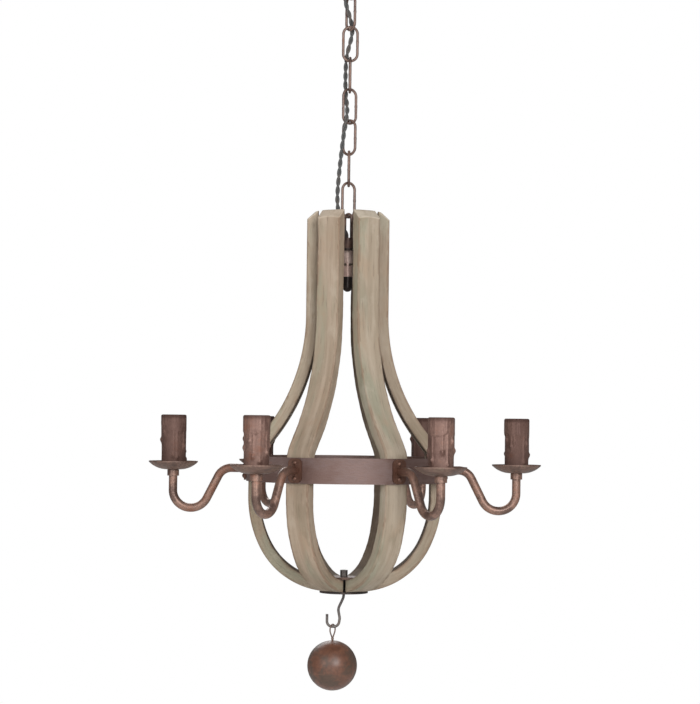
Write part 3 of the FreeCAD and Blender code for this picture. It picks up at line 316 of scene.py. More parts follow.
def iron(name, base, dark, rust, share, satin=0.44, brushed=None, metallic=0.4, scale=1.0,
         rooted=False, marked_and_shaded=False):
    """Patchy metal. A larger share spreads the rust, satin is the roughness, brushed draws the noise
    out, scale makes it finer, rooted puts deep rust near the lamp's axis, and the last switch darkens
    and dulls the metal by the mesh's own attribute, which holds a darker rim and foot, and painted shade."""
    metal = Finish(name, satin, metallic)
    place = metal.stretched(brushed) if brushed else metal.place
    blotch = metal.noise(26 * scale, place, detail=5, rough=0.6, warp=0.4)
    fine = metal.noise(210 * scale, place, detail=6, rough=0.65)
    speck = metal.spots(480 * scale)
    colour = metal.mix(metal.between(fine, 0.36, 0.66), halfway(dark, base), base)
    colour = metal.mix(metal.between(blotch, 0.58, 0.36, 0, 0.75), colour, dark)
    edge = 0.66 - 0.4 * share
    bloom = metal.sum(metal.times(blotch, 0.7), metal.times(fine, 0.3))
    colour = metal.mix(metal.between(bloom, edge, edge + 0.14, 0, 0.75), colour, rust)
    if rooted:
        level = metal.node("VectorMath", {0: metal.place, 1: (1, 1, 0)}, operation="MULTIPLY")
        out = metal.node("VectorMath", {0: level.outputs["Vector"]}, operation="LENGTH")
        near = metal.between(out.outputs["Value"], ROOT_FULL, ROOT_GONE, 0.85, 0)
        colour = metal.mix(near, colour, dimmed(rust, 0.48))
    colour = metal.mix(metal.between(speck, 0.16, 0.05, 0, 0.5), colour, dimmed(dark, 0.45))
    if marked_and_shaded:
        # darkens by the mesh's attribute: a darker rim and foot, and painted shade on the sleeves
        colour = metal.mix(metal.attribute("age"), colour, dimmed(dark, 0.7))
    height = metal.sum(fine, metal.between(speck, 0.05, 0.3, 0, 0.5))
    rough = metal.between(bloom, 0.4, 0.65, satin - 0.06, satin + 0.22)
    if marked_and_shaded:
        rough = metal.sum(rough, metal.times(metal.attribute("age"), 0.4))
    return metal.done(colour, height, 0.0004, 0.6, rough)


MAUVE, BROWN, UMBER = (0.158, 0.109, 0.1), (0.115, 0.063, 0.05), (0.075, 0.046, 0.038)
RUST, GREY_GREEN = (0.2, 0.083, 0.05), (0.15, 0.128, 0.092)
METALS = {
    "hoop_iron": iron("hoop_iron", MAUVE, BROWN, (0.17, 0.075, 0.055), 0.2, 0.48, (0.5, 0.5, 2.0)),
    "arm_iron": iron("arm_iron", (0.325, 0.194, 0.146), UMBER, RUST, 0.38, 0.38,
                     scale=1.1, metallic=0.5, rooted=True),
    "pan_iron": iron("pan_iron", (0.207, 0.125, 0.096), (0.07, 0.042, 0.032), GREY_GREEN, 0.32, 0.46,
                     scale=1.2),
    "candle_iron": iron("candle_iron", (0.238, 0.142, 0.113), (0.105, 0.052, 0.04), RUST, 0.3, 0.46,
                        scale=1.5, marked_and_shaded=True),
    "chain_iron": iron("chain_iron", (0.22, 0.143, 0.115), UMBER, (0.2, 0.095, 0.06), 0.35, 0.42),
    # painted light: the hub tube's base is nearly white, paler than its metal, to make up for the shade it
    # sits in between the staves
    "hub_copper_painted_light": iron("hub_copper_painted_light", (0.92, 0.72, 0.63), (0.55, 0.36, 0.3), RUST, 0.12, 0.4, metallic=0.2),
    # partly dark iron, partly painted shade: the hub cap, hub spider and bottom plate are near black for the
    # shade they sit in inside the lamp
    "dark_iron_and_shade": iron("dark_iron_and_shade", (0.06, 0.04, 0.033), (0.018, 0.013, 0.012), (0.12, 0.055, 0.03), 0.2),
    "hook_iron": iron("hook_iron", (0.15, 0.13, 0.12), (0.06, 0.05, 0.046), (0.16, 0.09, 0.06), 0.2, 0.4),
    "zinc": iron("zinc", (0.42, 0.42, 0.41), (0.28, 0.28, 0.28), (0.36, 0.34, 0.3), 0.2, 0.55, metallic=0.6),
}


BALL_TONES = {
    "dark": (0.084, 0.037, 0.023), "red": (0.143, 0.061, 0.036),
    "blotch": (0.058, 0.041, 0.029), "ring": (0.177, 0.081, 0.05),
}


def ball_finish():
    """Turned wood under a rust-red wash: soft mottling, dark blotches, faint rings and a satin polish."""
    paint = Finish("ball_wash", 0.42, specular=0.45)
    blotch = paint.noise(27, detail=4, rough=0.6, warp=0.4)
    fine = paint.noise(150, detail=5, rough=0.6)
    ring = paint.noise(1.0, paint.stretched((25, 25, 160)), detail=3)
    colour = paint.mix(paint.between(fine, 0.25, 0.75), BALL_TONES["dark"], BALL_TONES["red"])
    colour = paint.mix(paint.between(blotch, 0.54, 0.38, 0, 0.75), colour, BALL_TONES["blotch"])
    colour = paint.mix(paint.between(ring, 0.55, 0.7, 0, 0.45), colour, BALL_TONES["ring"])
    height = paint.sum(fine, paint.times(ring, 0.5))
    return paint.done(colour, height, 0.00035, 0.5, paint.between(blotch, 0.35, 0.65, 0.5, 0.36))


def moulded(name, colour, roughness):
    """A moulded plastic: one colour with a faint cloud, under a finely pitted skin."""
    resin = Finish(name, roughness)
    cloud = resin.noise(60, detail=3)
    skin = resin.noise(1400, detail=2)
    mixed = resin.mix(resin.between(cloud, 0.3, 0.7), dimmed(colour, 0.82), colour)
    rough = resin.between(skin, 0.3, 0.7, roughness - 0.05, roughness + 0.08)
    return resin.done(mixed, skin, 0.00008, 0.4, rough)


BALL = ball_finish()
BLACK = moulded("holder_bakelite", (0.018, 0.016, 0.015), 0.38)
CREAM = moulded("terminal_plastic", (0.62, 0.58, 0.48), 0.45)
print("finishes", len(bpy.data.materials))

# %% [markdown]
# ## Fittings that the CAD already shapes
#
# Brackets, nuts, tubes, arms, pans, plastic holders and the ball are simple turned, bent or
# moulded pieces, and the CAD's own surfaces are right. They only need their finish, so each
# node gets one material in place of the plain one.

# %% Finishes on CAD nodes
FITTINGS = {
    "zinc": ["ceiling_bracket", "canopy_nipple", "nipple_nut", "arm_nuts", "arm_nipples", "hub_nipple",
             "spider_screws"],
    "hoop_iron": ["canopy", "hoop"],
    "chain_iron": ["canopy_loop", "hub_loop", "ball_eye"],
    "hub_copper_painted_light": ["hub_tube"],
    "dark_iron_and_shade": ["hub_cap", "hub_spider", "bottom_plate"],
    "hook_iron": ["hook", "clamp_nut"],
    "arm_iron": ["arm_bolts", "pan_collars"] + [f"arm_{k}" for k in range(1, STAVES + 1)],
    "pan_iron": ["clamp_plate"] + [f"drip_pan_{k}" for k in range(1, STAVES + 1)],
}
OTHERS = {"lampholders": BLACK, "terminal_block": CREAM, "splice_block": CREAM, "ball": BALL}


def dress(node, material):
    """Puts one material on every face of a CAD node."""
    mesh = NODES[node].data
    mesh.materials.clear()
    mesh.materials.append(material)
    mesh.polygons.foreach_set("material_index", [0] * len(mesh.polygons))


for finish, names in FITTINGS.items():
    for name in names:
        dress(name, METALS[finish])
for name, material in OTHERS.items():
    dress(name, material)
print("dressed", sum(len(names) for names in FITTINGS.values()) + len(OTHERS), "CAD nodes")

# %% [markdown]
# ## Supply cable
#
# A twisted two-strand lead hangs loosely through the chain, from the ceiling box into the
# hub. Its middle line is a smooth curve drawn by control points, the same points
# as the CAD's. The two strands wind round that line. The chain bends at every link, and the
# lead is made in eight lengths, which meet in mid-link.

# %% The cable's middle line
CABLE_ROUTE = [
    (0, 0, -0.02), (0.0002, 0, -0.038), (0, 0, -0.057),
    (-0.0026, 0.0018, -0.07), (-0.0074, 0.0028, -0.081), (-0.0096, 0.0014, -0.092),
    (-0.0062, -0.0012, -0.105), (-0.0008, 0.0024, -0.121), (0.0035, 0.0071, -0.137),
    (0.0018, 0.0062, -0.152), (-0.0026, 0.0056, -0.168), (-0.0062, 0.0066, -0.185),
    (-0.0068, 0.0048, -0.206), (-0.0069, 0.0052, -0.229), (-0.0052, 0.0022, -0.248),
    (-0.0032, -0.0042, -0.264), (-0.005, -0.0104, -0.282), (-0.0084, -0.0102, -0.301),
    (-0.011, -0.009, -0.323), (-0.0134, -0.0078, -0.346), (-0.0156, -0.0069, -0.37),
    (-0.0172, -0.0068, -0.392), (-0.0172, -0.0076, -0.411), (-0.0144, -0.0082, -0.428),
    (-0.0092, -0.0066, -0.442), (-0.0034, -0.0025, -0.454), (-0.0007, -0.0004, -0.467),
    (0, 0, -0.484), (0, 0, -0.496),
]
CABLE_DIAMETER = 0.0069
STRAND_RADIUS = 0.00182
# length of one full turn of the strands, and step between points along the cable
TWIST, CABLE_STEP = 0.028, 0.001


def nurbs_line(points, resolution=14):
    """Points along the smooth curve whose control points are given."""
    curve = bpy.data.curves.new("route", "CURVE")
    curve.dimensions = "3D"
    curve.resolution_u = resolution
    spline = curve.splines.new("NURBS")
    spline.points.add(len(points) - 1)
    spline.points.foreach_set("co", np.column_stack([points, np.ones(len(points))]).ravel())
    spline.order_u = 3
    spline.use_endpoint_u = True
    bare = bpy.data.objects.new("route", curve)
    mesh = bpy.data.meshes.new_from_object(bare)
    line = np.empty(len(mesh.vertices) * 3)
    mesh.vertices.foreach_get("co", line)
    bpy.data.meshes.remove(mesh)
    bpy.data.objects.remove(bare)
    bpy.data.curves.remove(curve)
    return line.reshape(-1, 3)


def evenly(line, step):
    """The line again, with points the same short step apart."""
    along = np.concatenate([[0], np.cumsum(np.linalg.norm(np.diff(line, axis=0), axis=1))])
    at = np.linspace(0, along[-1], int(along[-1] / step) + 1)
    return np.stack([np.interp(at, along, line[:, k]) for k in range(3)], axis=1), at


middle, gone = evenly(nurbs_line(np.array(CABLE_ROUTE)), CABLE_STEP)
print("cable", round(float(gone[-1]), 3), "m long")


# %% The two strands
CLOTH_TONES = {"gap": (0.034, 0.033, 0.033), "thread": (0.122, 0.124, 0.122), "brown": (0.15, 0.11, 0.085)}


def cable_finish():
    """Braided cloth over rubber: diagonal threads that follow each strand, dark with paler flecks."""
    cloth = Finish("cable_cloth", 0.72, specular=0.3)
    wound = cloth.attribute("wound", "Vector")
    weave = cloth.node("TexWave", {"Vector": wound, "Scale": 520.0, "Distortion": 1.5, "Detail": 2.0},
                       bands_direction="DIAGONAL").outputs["Fac"]
    fleck = cloth.noise(900, detail=3)
    tone = cloth.noise(70, detail=3)
    colour = cloth.mix(weave, CLOTH_TONES["gap"], CLOTH_TONES["thread"])
    colour = cloth.mix(cloth.between(tone, 0.45, 0.7, 0, 0.4), colour, CLOTH_TONES["brown"])
    return cloth.done(colour, cloth.sum(weave, fleck), 0.00025, 0.7)


CABLE_CLOTH = cable_finish()


def strand(line, at, start_turn):
    """One strand: a rod whose middle goes round the line once in each twist length.
    Its middle is line + off * (side cos turn + up sin turn), with turn = start + tau * at / twist."""
    side, up = cross_ways(line, X_WAY)
    turn = (start_turn + math.tau * at / TWIST)[:, None]
    off = CABLE_DIAMETER / 2 - STRAND_RADIUS
    return line + off * (side * np.cos(turn) + up * np.sin(turn))


def strands(line, at, sides=12, girth=0.012):
    """Both strands of one length, as points, faces and the coordinates that the weave follows:
    metres along the cable and, by the girth, metres round a strand."""
    points, faces, wound = [], [], []
    for number in range(2):
        tube = swept(strand(line, at, math.pi * number), STRAND_RADIUS, X_WAY, sides)
        faces.append(grid_faces(len(line), sides, wrap=True) + len(line) * sides * number)
        points.append(tube.reshape(-1, 3))
        around = np.broadcast_to(np.arange(sides) / sides * girth, (len(line), sides))
        length = np.broadcast_to(at[:, None], (len(line), sides))
        wound.append(np.stack([length, around, around * 0], axis=-1).reshape(-1, 3))
    return np.concatenate(points), np.concatenate(faces), np.concatenate(wound)


# heights of the hinges: the canopy's loop with the first link, then each link with what hangs on it
PIVOTS = [-0.092] + [-0.1402 - LINK_PITCH * k for k in range(LINKS)]
MEETINGS = [(above + below) / 2 for above, below in zip(PIVOTS, PIVOTS[1:])]
edges = [0] + [int(np.argmin(abs(middle[:, 2] - z))) for z in MEETINGS] + [len(middle) - 1]
for number, pivot in enumerate(PIVOTS):
    first, last = edges[number], edges[number + 1] + 1
    line, at = middle[first:last], gone[first:last]
    points, faces, wound = strands(line, at)
    made = piece(f"supply_cable_{number + 1}", points, faces, None, "cable_sheath", CABLE_CLOTH,
                 replaces=["supply_cable"], wound=wound)
    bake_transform(made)
print("cable made in", len(PIVOTS), "lengths")

# %% [markdown]
# ## Chain
#
# Each link is a rod bent into a flat-sided ring and welded shut on one long side. A torus
# stretched in the middle would do, but the ring is drawn here as a path, so that the rod can
# swell at its weld and stay a little uneven, as hand-closed links are.

# %% Links
LINK = {"wire": 0.0042, "long": 0.057, "wide": 0.026}
# degrees about the vertical axis, and the height of the wire's middle at the first link's top
LINK_TURNS = [-55, 0, 90, 26, -34, -92, 30]
FIRST_LINK_TOP = -0.0874
# the weld's place along the ring, how much that changes from link to link, its reach and height
WELD = {"at": 0.0155, "shift": 0.003, "reach": 0.0016, "height": 0.00028}
# uneven rod: height, waves along the ring and shift from link to link of each ripple
RIPPLES = [(0.00004, 410, 1), (0.00003, 900, 2)]


def stadium(reach, bend, steps):
    """A ring of two half circles and two straight sides, with evenly spaced points.
    The straight sides are `2 reach` long and the half circles have the radius `bend`."""
    straight, half = 2 * reach, math.pi * bend
    at = np.linspace(0, 2 * (straight + half), steps, endpoint=False)
    side = at % (straight + half)
    mirror = np.where(at < straight + half, 1.0, -1.0)
    turn = np.clip((side - straight) / bend, 0, math.pi)
    x = bend * np.cos(turn)
    z = np.where(side < straight, side - reach, reach + bend * np.sin(turn))
    return np.stack([x * mirror, np.zeros(steps), z * mirror], axis=-1), at


def link(number, steps=132, sides=18):
    """A ring whose rod has the radius wire / 2 + height * exp(-(off the weld / reach)^2) + ripples."""
    path, at = stadium((LINK["long"] - LINK["wide"]) / 2, (LINK["wide"] - LINK["wire"]) / 2, steps)
    off = at - WELD["at"] - WELD["shift"] * math.sin(number)
    weld = WELD["height"] * np.exp(-((off / WELD["reach"]) ** 2))
    uneven = sum(height * np.sin(at * pace + shift * number) for height, pace, shift in RIPPLES)
    points = swept(path, LINK["wire"] / 2 + weld + uneven, Y_WAY, sides, closed=True)
    middle_z = FIRST_LINK_TOP - (LINK["long"] - LINK["wire"]) / 2 - LINK_PITCH * number
    return spun(points, LINK_TURNS[number]) + np.array([0, 0, middle_z])


for number in range(LINKS):
    points = link(number)
    piece(f"link_{number + 1}", points, grid_faces(*points.shape[:2], wrap=True, close=True),
          f"chain_link_{number + 1}_body", "chain_iron", METALS["chain_iron"],
          replaces=[f"chain_link_{number + 1}"])
print("links", LINKS)

# %% [markdown]
# ## Staves
#
# A stave is a sawn board, steamed and bent: a slim neck, a flare to the belly and a round
# sweep under it, with its top chamfered on the circle as a cooper does. A box could be bent
# with modifiers, but here the side line is worked out as runs and arcs, and a block of
# points is laid along it, of which only the skin is kept. Worn edges come from pulling the
# corners in by different amounts along the board.

# %% The side line
# (distance from the axis, height from the tops) of the board's outer line, and its arcs' radii
STAVE_LINE = np.array([
    (0.063, 0), (0.063, -0.257), (0.1475, -0.369), (0.1475, -0.475), (0.099, -0.5767), (0.0193, -0.5803),
])
STAVE_BENDS = [0.29, 0.04, 0.1747, 0.1209]
LINE_STEP = 0.0035


def rounded_line(corners, bends, step):
    """Runs joined by arcs, as places, unit ways and lengths gone. Each arc touches both of its runs:
    it starts bend * tan(turn / 2) before the corner, and ends as far behind it."""
    ways = unit(np.diff(corners, axis=0))
    headings = np.arctan2(ways[:, 1], ways[:, 0])
    places, angles, last = [], [], corners[0]
    for corner, bend, one, other in zip(corners[1:], bends, headings, headings[1:]):
        turn = (other - one + math.pi) % math.tau - math.pi
        reach = bend * abs(math.tan(turn / 2))
        coming = np.array([math.cos(one), math.sin(one)])
        first = corner - reach * coming
        count = max(int(np.linalg.norm(first - last) / step), 1)
        share = np.arange(count) / count
        places.append(last + share[:, None] * (first - last))
        angles.append(np.full(count, one))
        count = max(int(abs(turn) * bend / step), 4)
        swing = turn * np.arange(count) / count
        left = np.array([-coming[1], coming[0]]) * math.copysign(1, turn)
        inward = bend * (1 - np.cos(swing))[:, None] * left
        places.append(first + bend * np.sin(abs(swing))[:, None] * coming + inward)
        angles.append(one + swing)
        last = corner + reach * np.array([math.cos(other), math.sin(other)])
    count = max(int(np.linalg.norm(corners[-1] - last) / step), 1)
    share = np.arange(count + 1) / count
    places.append(last + share[:, None] * (corners[-1] - last))
    angles.append(np.full(count + 1, headings[-1]))
    place, angle = np.concatenate(places), np.concatenate(angles)
    way = np.stack([np.cos(angle), np.sin(angle)], axis=-1)
    gone = np.concatenate([[0], np.cumsum(np.linalg.norm(np.diff(place, axis=0), axis=1))])
    return place, way, gone


side_line, side_way, side_gone = rounded_line(STAVE_LINE, STAVE_BENDS, LINE_STEP)
print("stave line", len(side_line), "stations,", round(float(side_gone[-1]), 3), "m")


# %% A block of points and its skin
def skin_of(shape):
    """The outside of a block with that many points each way: the numbers of the block's points
    that it uses, and its faces, whose corners count in that list."""
    index = np.arange(np.prod(shape)).reshape(shape)
    sides = [index[0], index[-1], index[:, 0], index[:, -1], index[:, :, 0], index[:, :, -1]]
    quads = [np.stack([s[:-1, :-1], s[1:, :-1], s[1:, 1:], s[:-1, 1:]], axis=-1) for s in sides]
    used, fresh = np.unique(np.concatenate([q.reshape(-1, 4) for q in quads]), return_inverse=True)
    return used, fresh.reshape(-1, 4)


def waves(at, number, seed, lengths, heights):
    """A sum of sine waves along a board, with phases that the seed and the board's number fix."""
    phases = np.random.default_rng(seed + number).uniform(0, math.tau, len(lengths))
    return sum(h * np.sin(math.tau * at / n + p) for n, h, p in zip(lengths, heights, phases))


# the board's width and thickness, the height of its flat foot, and its corners' usual radius
WIDTH, THICK, SEAT, ROUND = 0.038, 0.018, -0.5796, 0.0021


def laid_out(low, high, middle):
    """Places from low to high: close together in the rounded corners, evenly spaced between them."""
    corner = np.array([0, 0.0005, 0.0011])
    flat = np.linspace(low + ROUND, high - ROUND, middle)
    return np.concatenate([low + corner, flat, (high - corner)[::-1]])


ACROSS, DEEP = laid_out(-WIDTH / 2, WIDTH / 2, 19), laid_out(0, THICK, 7)


def round_corners(y, deep, radius):
    """Moves the square corners of the board's section on to quarter circles: inside a corner's
    square of side `radius`, a point keeps its direction from the circle's centre, and its
    distance becomes the larger of its two legs."""
    leg_y = np.abs(y) - (WIDTH / 2 - radius)
    leg_d = np.abs(deep - THICK / 2) - (THICK / 2 - radius)
    near = (leg_y > 0) & (leg_d > 0)
    far = np.maximum(np.hypot(leg_y, leg_d), 1e-9)
    scale = np.where(near, np.maximum(leg_y, leg_d) / far, 1.0)
    new_y = np.where(near, WIDTH / 2 - radius + leg_y * scale, np.abs(y)) * np.sign(y)
    off = deep - THICK / 2
    new_d = np.where(near, THICK / 2 - radius + leg_d * scale, np.abs(off)) * np.sign(off)
    return new_y, new_d + THICK / 2, near


# seed, wave lengths and wave heights: of the corners' wear (a share of ROUND), of the width, and
# of the inner face
WEAR_WAVES = 31, (0.23, 0.061, 0.017), (0.22, 0.2, 0.12)
WIDTH_WAVES = 7, (0.41, 0.17), (0.0003, 0.00012)
INSIDE_WAVES = 19, (0.33, 0.09), (0.00018, 0.00006)
# the bevel turned on the tops drops by `drop` over each `run` beyond `radius`, and the board
# takes it up over the height `deep`
CROWN = {"radius": 0.051, "run": 0.012, "drop": 0.011, "deep": 0.03}
# distance from the axis at which a board's mitred width is nothing
MITER_START = 0.0036
# a step along the grain from board to board, so that no two are alike, and each board's warmth
GRAIN_STEP = 1.7
PLANKS = [0.1, 0.5, 0.8, 0.3, 0.45, 0.95]
# depth under the inner face at which its painted shade starts, and the shade's rise for each metre
INNER_SHADE_START, INNER_SHADE_RISE = 0.0015, 900


def stave(number):
    """A block of points laid on the side line, cut to its top and its miters. The point (y, deep,
    at) goes to line(at) + inward(at) * deep in the board's own plane, and y to the side of it.
    Returns the points, and the values that the finish reads."""
    y, deep, at = np.meshgrid(ACROSS, DEEP, side_gone, indexing="ij")
    wear = 1 + waves(at + 3 * y, number, *WEAR_WAVES)
    new_y, new_deep, corner = round_corners(y, deep, ROUND * np.clip(wear, 0.55, 1.6))
    new_y = new_y + waves(at, number, *WIDTH_WAVES)
    new_deep = new_deep + waves(at + y, number, *INSIDE_WAVES) * (deep > 0)
    normal = np.stack([side_way[:, 1], -side_way[:, 0]], axis=-1)
    x = side_line[:, 0] + normal[:, 0] * new_deep
    z = side_line[:, 1] + normal[:, 1] * new_deep
    radius = np.hypot(x, new_y)
    crown = -np.maximum(radius - CROWN["radius"], 0) * CROWN["drop"] / CROWN["run"]
    z = np.where(z > -CROWN["deep"], -CROWN["deep"] + (z / CROWN["deep"] + 1) * (crown + CROWN["deep"]), z)
    z = np.maximum(z, SEAT)
    room = np.maximum(x - MITER_START, 0) * math.tan(math.radians(180 / STAVES))
    new_y = np.clip(new_y, -room, room)
    points = spun(np.stack([x, new_y, z + TOPS], axis=-1), turn_of(number))
    grain = np.stack([at + GRAIN_STEP * number, y, deep], axis=-1)
    cut = (at < 0.001) & (radius > CROWN["radius"] - 0.001)
    # painted shade on the inner face
    back = np.clip((deep - THICK + INNER_SHADE_START) * INNER_SHADE_RISE, 0, 1)
    plank = np.full(at.shape, PLANKS[number])
    return points, {"grain": grain, "worn_edge_and_shade": corner * 1.0, "cut": cut * 1.0, "back": back, "plank": plank}


used, skin = skin_of((len(ACROSS), len(DEEP), len(side_gone)))
for number in range(STAVES):
    points, looks = stave(number)
    looks = {key: values.reshape(-1, *values.shape[3:])[used] for key, values in looks.items()}
    piece(f"oak_stave_{number + 1}", points.reshape(-1, 3)[used], skin, "fixture", "oak", BOARD,
          replaces=[f"stave_{number + 1}"], crease=35, **looks)
print("staves", STAVES, "with", len(used), "points each")

# %% [markdown]
# ## Candle sleeves
#
# The sleeves imitate wax candles: a rough tube with a thicker collar of melted wax at its
# top, and runs of wax that end in beads. The wall is a profile turned round the candle, and
# the wax is added to its radius: each run is a narrow hump round the tube, as long as it has
# flowed, with a bead at its end.

# %% Sleeves
# "low" is the foot's height from the staves' tops, and "collar" the height of the wax collar
SLEEVE = {"body": 0.0182, "cap": 0.0193, "bore": 0.0155, "tall": 0.081, "collar": 0.026, "low": -0.3949}
# distance of the sleeves from the axis, radius of their rounded rim, and rows and columns of points
CUP_RADIUS, RIM_EDGE = 0.263, 0.0026
WALL_ROWS, RIM_ROWS, SLEEVE_SIDES = 74, 7, 168
RUNS, RIDGES = 11, 15
# softness of the collar's edge and of a run's end, height of a bead's middle above that end, and
# the bead's reach
EDGE_SOFT, END_SOFT, BEAD_RISE, BEAD_REACH = 0.0007, 0.0009, 0.003, 0.0045
RIPPLE = 0.00004
# painted shade on each sleeve: almost none on the two front ones, more on the sides and most on the two at
# the back, where less light falls; and what fixes its runs of wax
SLEEVE_SHADE = [0.0, 0.45, 0.65, 0.7, 0.42, 0.04]
SEEDS = [11, 16, 21, 26, 31, 36]


def flows(turn, ends, height, spots, widths, thick, bead):
    """Thickness of runs of wax. Each is exp(-(angle off its line / width)^2), held down to its end
    and softened there, with a bead exp(-(off / 1.5 width)^2 - ((height - end - rise) / reach)^2)."""
    wax = np.zeros_like(turn)
    for spot, low, wide in zip(spots, ends, widths):
        off = (turn - spot + math.pi) % math.tau - math.pi
        run = np.exp(-((off / wide) ** 2)) / (1 + np.exp(-(height - low) / END_SOFT))
        drop = np.exp(-((off / (wide * 1.5)) ** 2) - ((height - low - BEAD_RISE) / BEAD_REACH) ** 2)
        wax = np.maximum(wax, np.maximum(thick * run, bead * drop))
    return wax


def sleeve(seed):
    """The wall's profile (height, radius) turned once: up the outside, round the rim in a quarter
    circle (height + edge sin a, radius - edge (1 - cos a)), and down the bore. Outside, the radius
    is body + the larger of collar and runs + ridges + ripples, where the collar comes in above a
    wavy edge by (cap - body) / (1 + exp(-(height - edge) / softness)).
    Returns its points, and how dark they are: more at the rim and the foot, and between the runs
    as painted shade, so that the runs look lit."""
    draw = np.random.default_rng(seed)
    tall, lip = SLEEVE["tall"], SLEEVE["tall"] - SLEEVE["collar"]
    turn = np.linspace(0, math.tau, SLEEVE_SIDES, endpoint=False)
    bend = np.linspace(0, math.pi / 2, RIM_ROWS)
    wall = np.linspace(0, tall - RIM_EDGE, WALL_ROWS, endpoint=False)
    inside = [tall, tall - 0.0008, 0.03, 0.0]
    rows = np.concatenate([wall, tall - RIM_EDGE * (1 - np.sin(bend)), inside])
    row, column = np.meshgrid(rows, turn, indexing="ij")
    edge = lip + 0.0016 * np.sin(3 * column + seed) + 0.0011 * np.sin(7 * column + 2 * seed)
    collar = (SLEEVE["cap"] - SLEEVE["body"]) / (1 + np.exp(-(row - edge) / EDGE_SOFT))
    around = math.tau * (np.arange(RUNS) + draw.uniform(-0.35, 0.35, RUNS)) / RUNS
    ends = lip - draw.uniform(0.002, 0.046, RUNS)
    runs = flows(column, ends, row, around, draw.uniform(0.07, 0.12, RUNS), 0.001, 0.0027)
    around = math.tau * (np.arange(RIDGES) + draw.uniform(-0.4, 0.4, RIDGES)) / RIDGES
    ends = lip + draw.uniform(-0.004, 0.02, RIDGES)
    ridges = flows(column, ends, row, around, draw.uniform(0.045, 0.08, RIDGES), 0.0004, 0.0005)
    radius = SLEEVE["body"] + np.maximum(collar, runs) + ridges
    radius += RIPPLE * np.sin(9 * column + 140 * row + seed) + RIPPLE * np.sin(23 * column - 300 * row)
    rim_end = WALL_ROWS + RIM_ROWS
    radius[WALL_ROWS:rim_end] -= RIM_EDGE * (1 - np.cos(bend))[:, None]
    radius[rim_end:] = SLEEVE["bore"]
    # a bevel at the mouth
    radius[rim_end] += 0.001
    points = np.stack([radius * np.cos(column), radius * np.sin(column), row], axis=-1)
    rim = 1 / (1 + np.exp(-(row - tall + 0.0048) / 0.0009))
    foot = np.exp(-row / 0.006)
    # painted shade: the plain wall between the wax runs is darker, so that the runs look lit
    shade_between_runs = np.exp(-((ridges + runs) / 0.0003)) * 0.16
    return points, np.clip(0.65 * rim + 0.45 * foot + shade_between_runs, 0, 0.9)


for number, seed in enumerate(SEEDS):
    points, age = sleeve(seed)
    angle = math.radians(turn_of(number))
    spot = np.array([CUP_RADIUS * math.cos(angle), CUP_RADIUS * math.sin(angle), SLEEVE["low"] + TOPS])
    # the sleeve's attribute holds its darker rim and foot, and painted shade between its runs and for its
    # place in the lamp
    piece(f"candle_{number + 1}", points + spot, grid_faces(*points.shape[:2], wrap=True, close=True),
          "fixture", "rusty_iron", METALS["candle_iron"], replaces=[f"candle_sleeve_{number + 1}"],
          age=np.clip(age + SLEEVE_SHADE[number], 0, 1).ravel())
print("sleeves", STAVES)

# %% [markdown]
# ## Lamp wires
#
# From the hub a thin wire goes to each stave, runs down its inside, and enters the arm through
# the hoop. It is fixed wiring, so it is a plain rod along a rounded line.

# %% Wires
WIRE, WIRE_SIDES, WIRE_STEP = 0.003, 10, 0.003
# (distance from the axis, height from the staves' tops) of the corners, and the arcs' radii
WIRE_ROUTE = np.array([
    (0.005, -0.0808), (0.0436, -0.0808), (0.0436, -0.2635), (0.1231, -0.3689), (0.1231, -0.3944),
    (0.1878, -0.3944), (0.2187, -0.4559), (0.263, -0.4559), (0.263, -0.3805),
])
WIRE_BENDS = [0.009, 0.3094, 0.009, 0.009, 0.022, 0.027, 0.027]


def wire_line():
    """The wire's middle as runs and arcs in the stave's own plane."""
    place, _, _ = rounded_line(WIRE_ROUTE, WIRE_BENDS, WIRE_STEP)
    return np.stack([place[:, 0], np.zeros(len(place)), place[:, 1] + TOPS], axis=-1)


rod = swept(wire_line(), WIRE / 2, Y_WAY, WIRE_SIDES)
rod_faces = grid_faces(*rod.shape[:2], wrap=True)
rod_points = rod.shape[0] * rod.shape[1]
wires = np.concatenate([spun(rod, turn_of(number)).reshape(-1, 3) for number in range(STAVES)])
faces = np.concatenate([rod_faces + rod_points * number for number in range(STAVES)])
SHEATH = moulded("wire_sheath", (0.17, 0.13, 0.097), 0.6)
piece("lamp_wiring", wires, faces, "fixture", "cable_sheath", SHEATH, replaces=["lamp_wires"])
print("wires", STAVES)

# %% [markdown]
# ## Floor, light and camera
#
# The lamp was photographed against plain white, in soft and even light. Two large lamps in
# front do most of the work, and a third lights the far side. A pale round floor well below
# and a white world keep the picture calm from every side. The camera stands a little over
# three metres off, level with the place where the staves flare out, and looks slightly up
# through a long lens.

# %% Floor
def floor(radius=3.4, height=-1.8, sides=96):
    """The rim of a disc: (r cos t, r sin t, height)."""
    turn = np.linspace(0, math.tau, sides, endpoint=False)
    return np.stack([radius * np.cos(turn), radius * np.sin(turn), np.full(sides, height)], axis=-1)


paper = Finish("floor_paper", 0.9, specular=0.1)
cloud = paper.noise(3, detail=2)
PAPER = paper.done(paper.mix(paper.between(cloud, 0.3, 0.7), (0.84, 0.84, 0.835), (0.88, 0.88, 0.88)))
points = floor()
mesh = bpy.data.meshes.new("floor")
mesh.from_pydata(points.tolist(), [], [tuple(range(len(points)))])
mesh.materials.append(PAPER)
ground = bpy.data.objects.new("floor", mesh)
bpy.context.scene.collection.objects.link(ground)
print("floor at", points[0, 2])


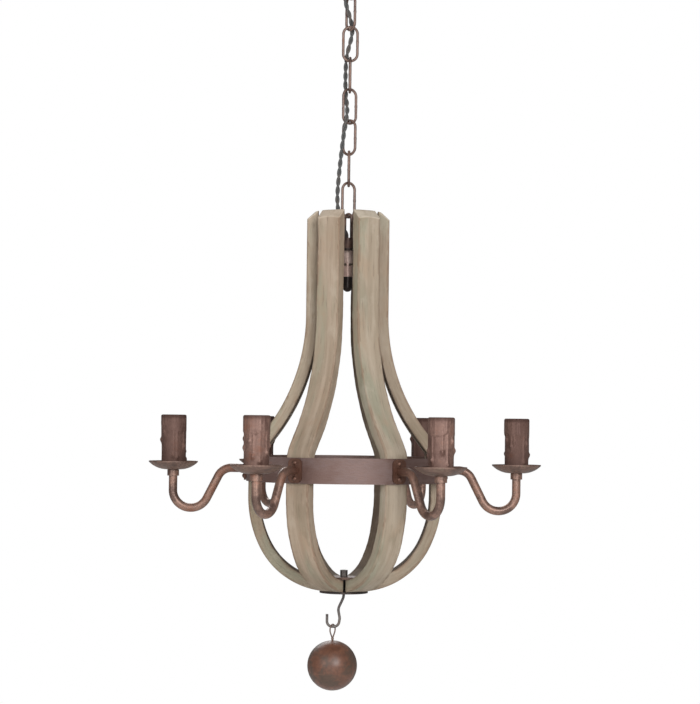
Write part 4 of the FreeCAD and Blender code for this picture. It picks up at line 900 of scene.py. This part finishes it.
# %% Light
def softbox(name, place, size, energy, aim=(0, 0, -0.8)):
    """A large square lamp that faces the aim."""
    lamp = bpy.data.lights.new(name, "AREA")
    lamp.size, lamp.energy = size, energy
    made = bpy.data.objects.new(name, lamp)
    bpy.context.scene.collection.objects.link(made)
    made.location = place
    way = Vector(aim) - Vector(place)
    made.rotation_euler = way.to_track_quat("-Z", "Y").to_euler()


# strength of the white world as light, and as the camera sees it behind the lamp
WORLD_LIGHT, WORLD_SEEN = 0.28, 1.0
softbox("key", (0.8, -2.9, 0.1), 1.6, 84)
softbox("fill", (-1.7, -2.5, -0.2), 1.8, 38)
softbox("back", (-0.6, 2.6, 0.9), 2.0, 48)
world = bpy.data.worlds.new("white")
world.use_nodes = True
nodes, links = world.node_tree.nodes, world.node_tree.links
seen = nodes.new("ShaderNodeLightPath").outputs["Is Camera Ray"]
strength = nodes.new("ShaderNodeMapRange")
links.new(seen, strength.inputs["Value"])
strength.inputs["To Min"].default_value = WORLD_LIGHT
strength.inputs["To Max"].default_value = WORLD_SEEN
nodes["Background"].inputs["Color"].default_value = (1, 1, 1, 1)
links.new(strength.outputs["Result"], nodes["Background"].inputs["Strength"])
bpy.context.scene.world = world
bpy.context.scene.view_settings.view_transform = "Standard"
print("lights", len(bpy.data.lights))

# %% Camera
# metres, with a small step aside, and the focal length in millimetres
DISTANCE, EYE_HEIGHT, SIDE_STEP, FOCAL_LENGTH = 3.19, -0.745, 0.0052, 106.3
YAW, PITCH, ROLL = math.radians(1.35), math.radians(1.93), math.radians(0.7)
lens = bpy.data.cameras.new("camera")
lens.lens = FOCAL_LENGTH
camera = bpy.data.objects.new("camera", lens)
bpy.context.scene.collection.objects.link(camera)
camera.location = (
    -DISTANCE * math.sin(YAW) + SIDE_STEP * math.cos(YAW),
    -DISTANCE * math.cos(YAW) - SIDE_STEP * math.sin(YAW),
    EYE_HEIGHT)
camera.rotation_mode = "XYZ"
turn = Matrix.Rotation(-YAW, 4, "Z") @ Matrix.Rotation(math.pi / 2 + PITCH, 4, "X")
turn = turn @ Matrix.Rotation(ROLL, 4, "Z")
camera.rotation_euler = turn.to_euler()
bpy.context.scene.camera = camera
print("camera", [round(x, 3) for x in camera.location])
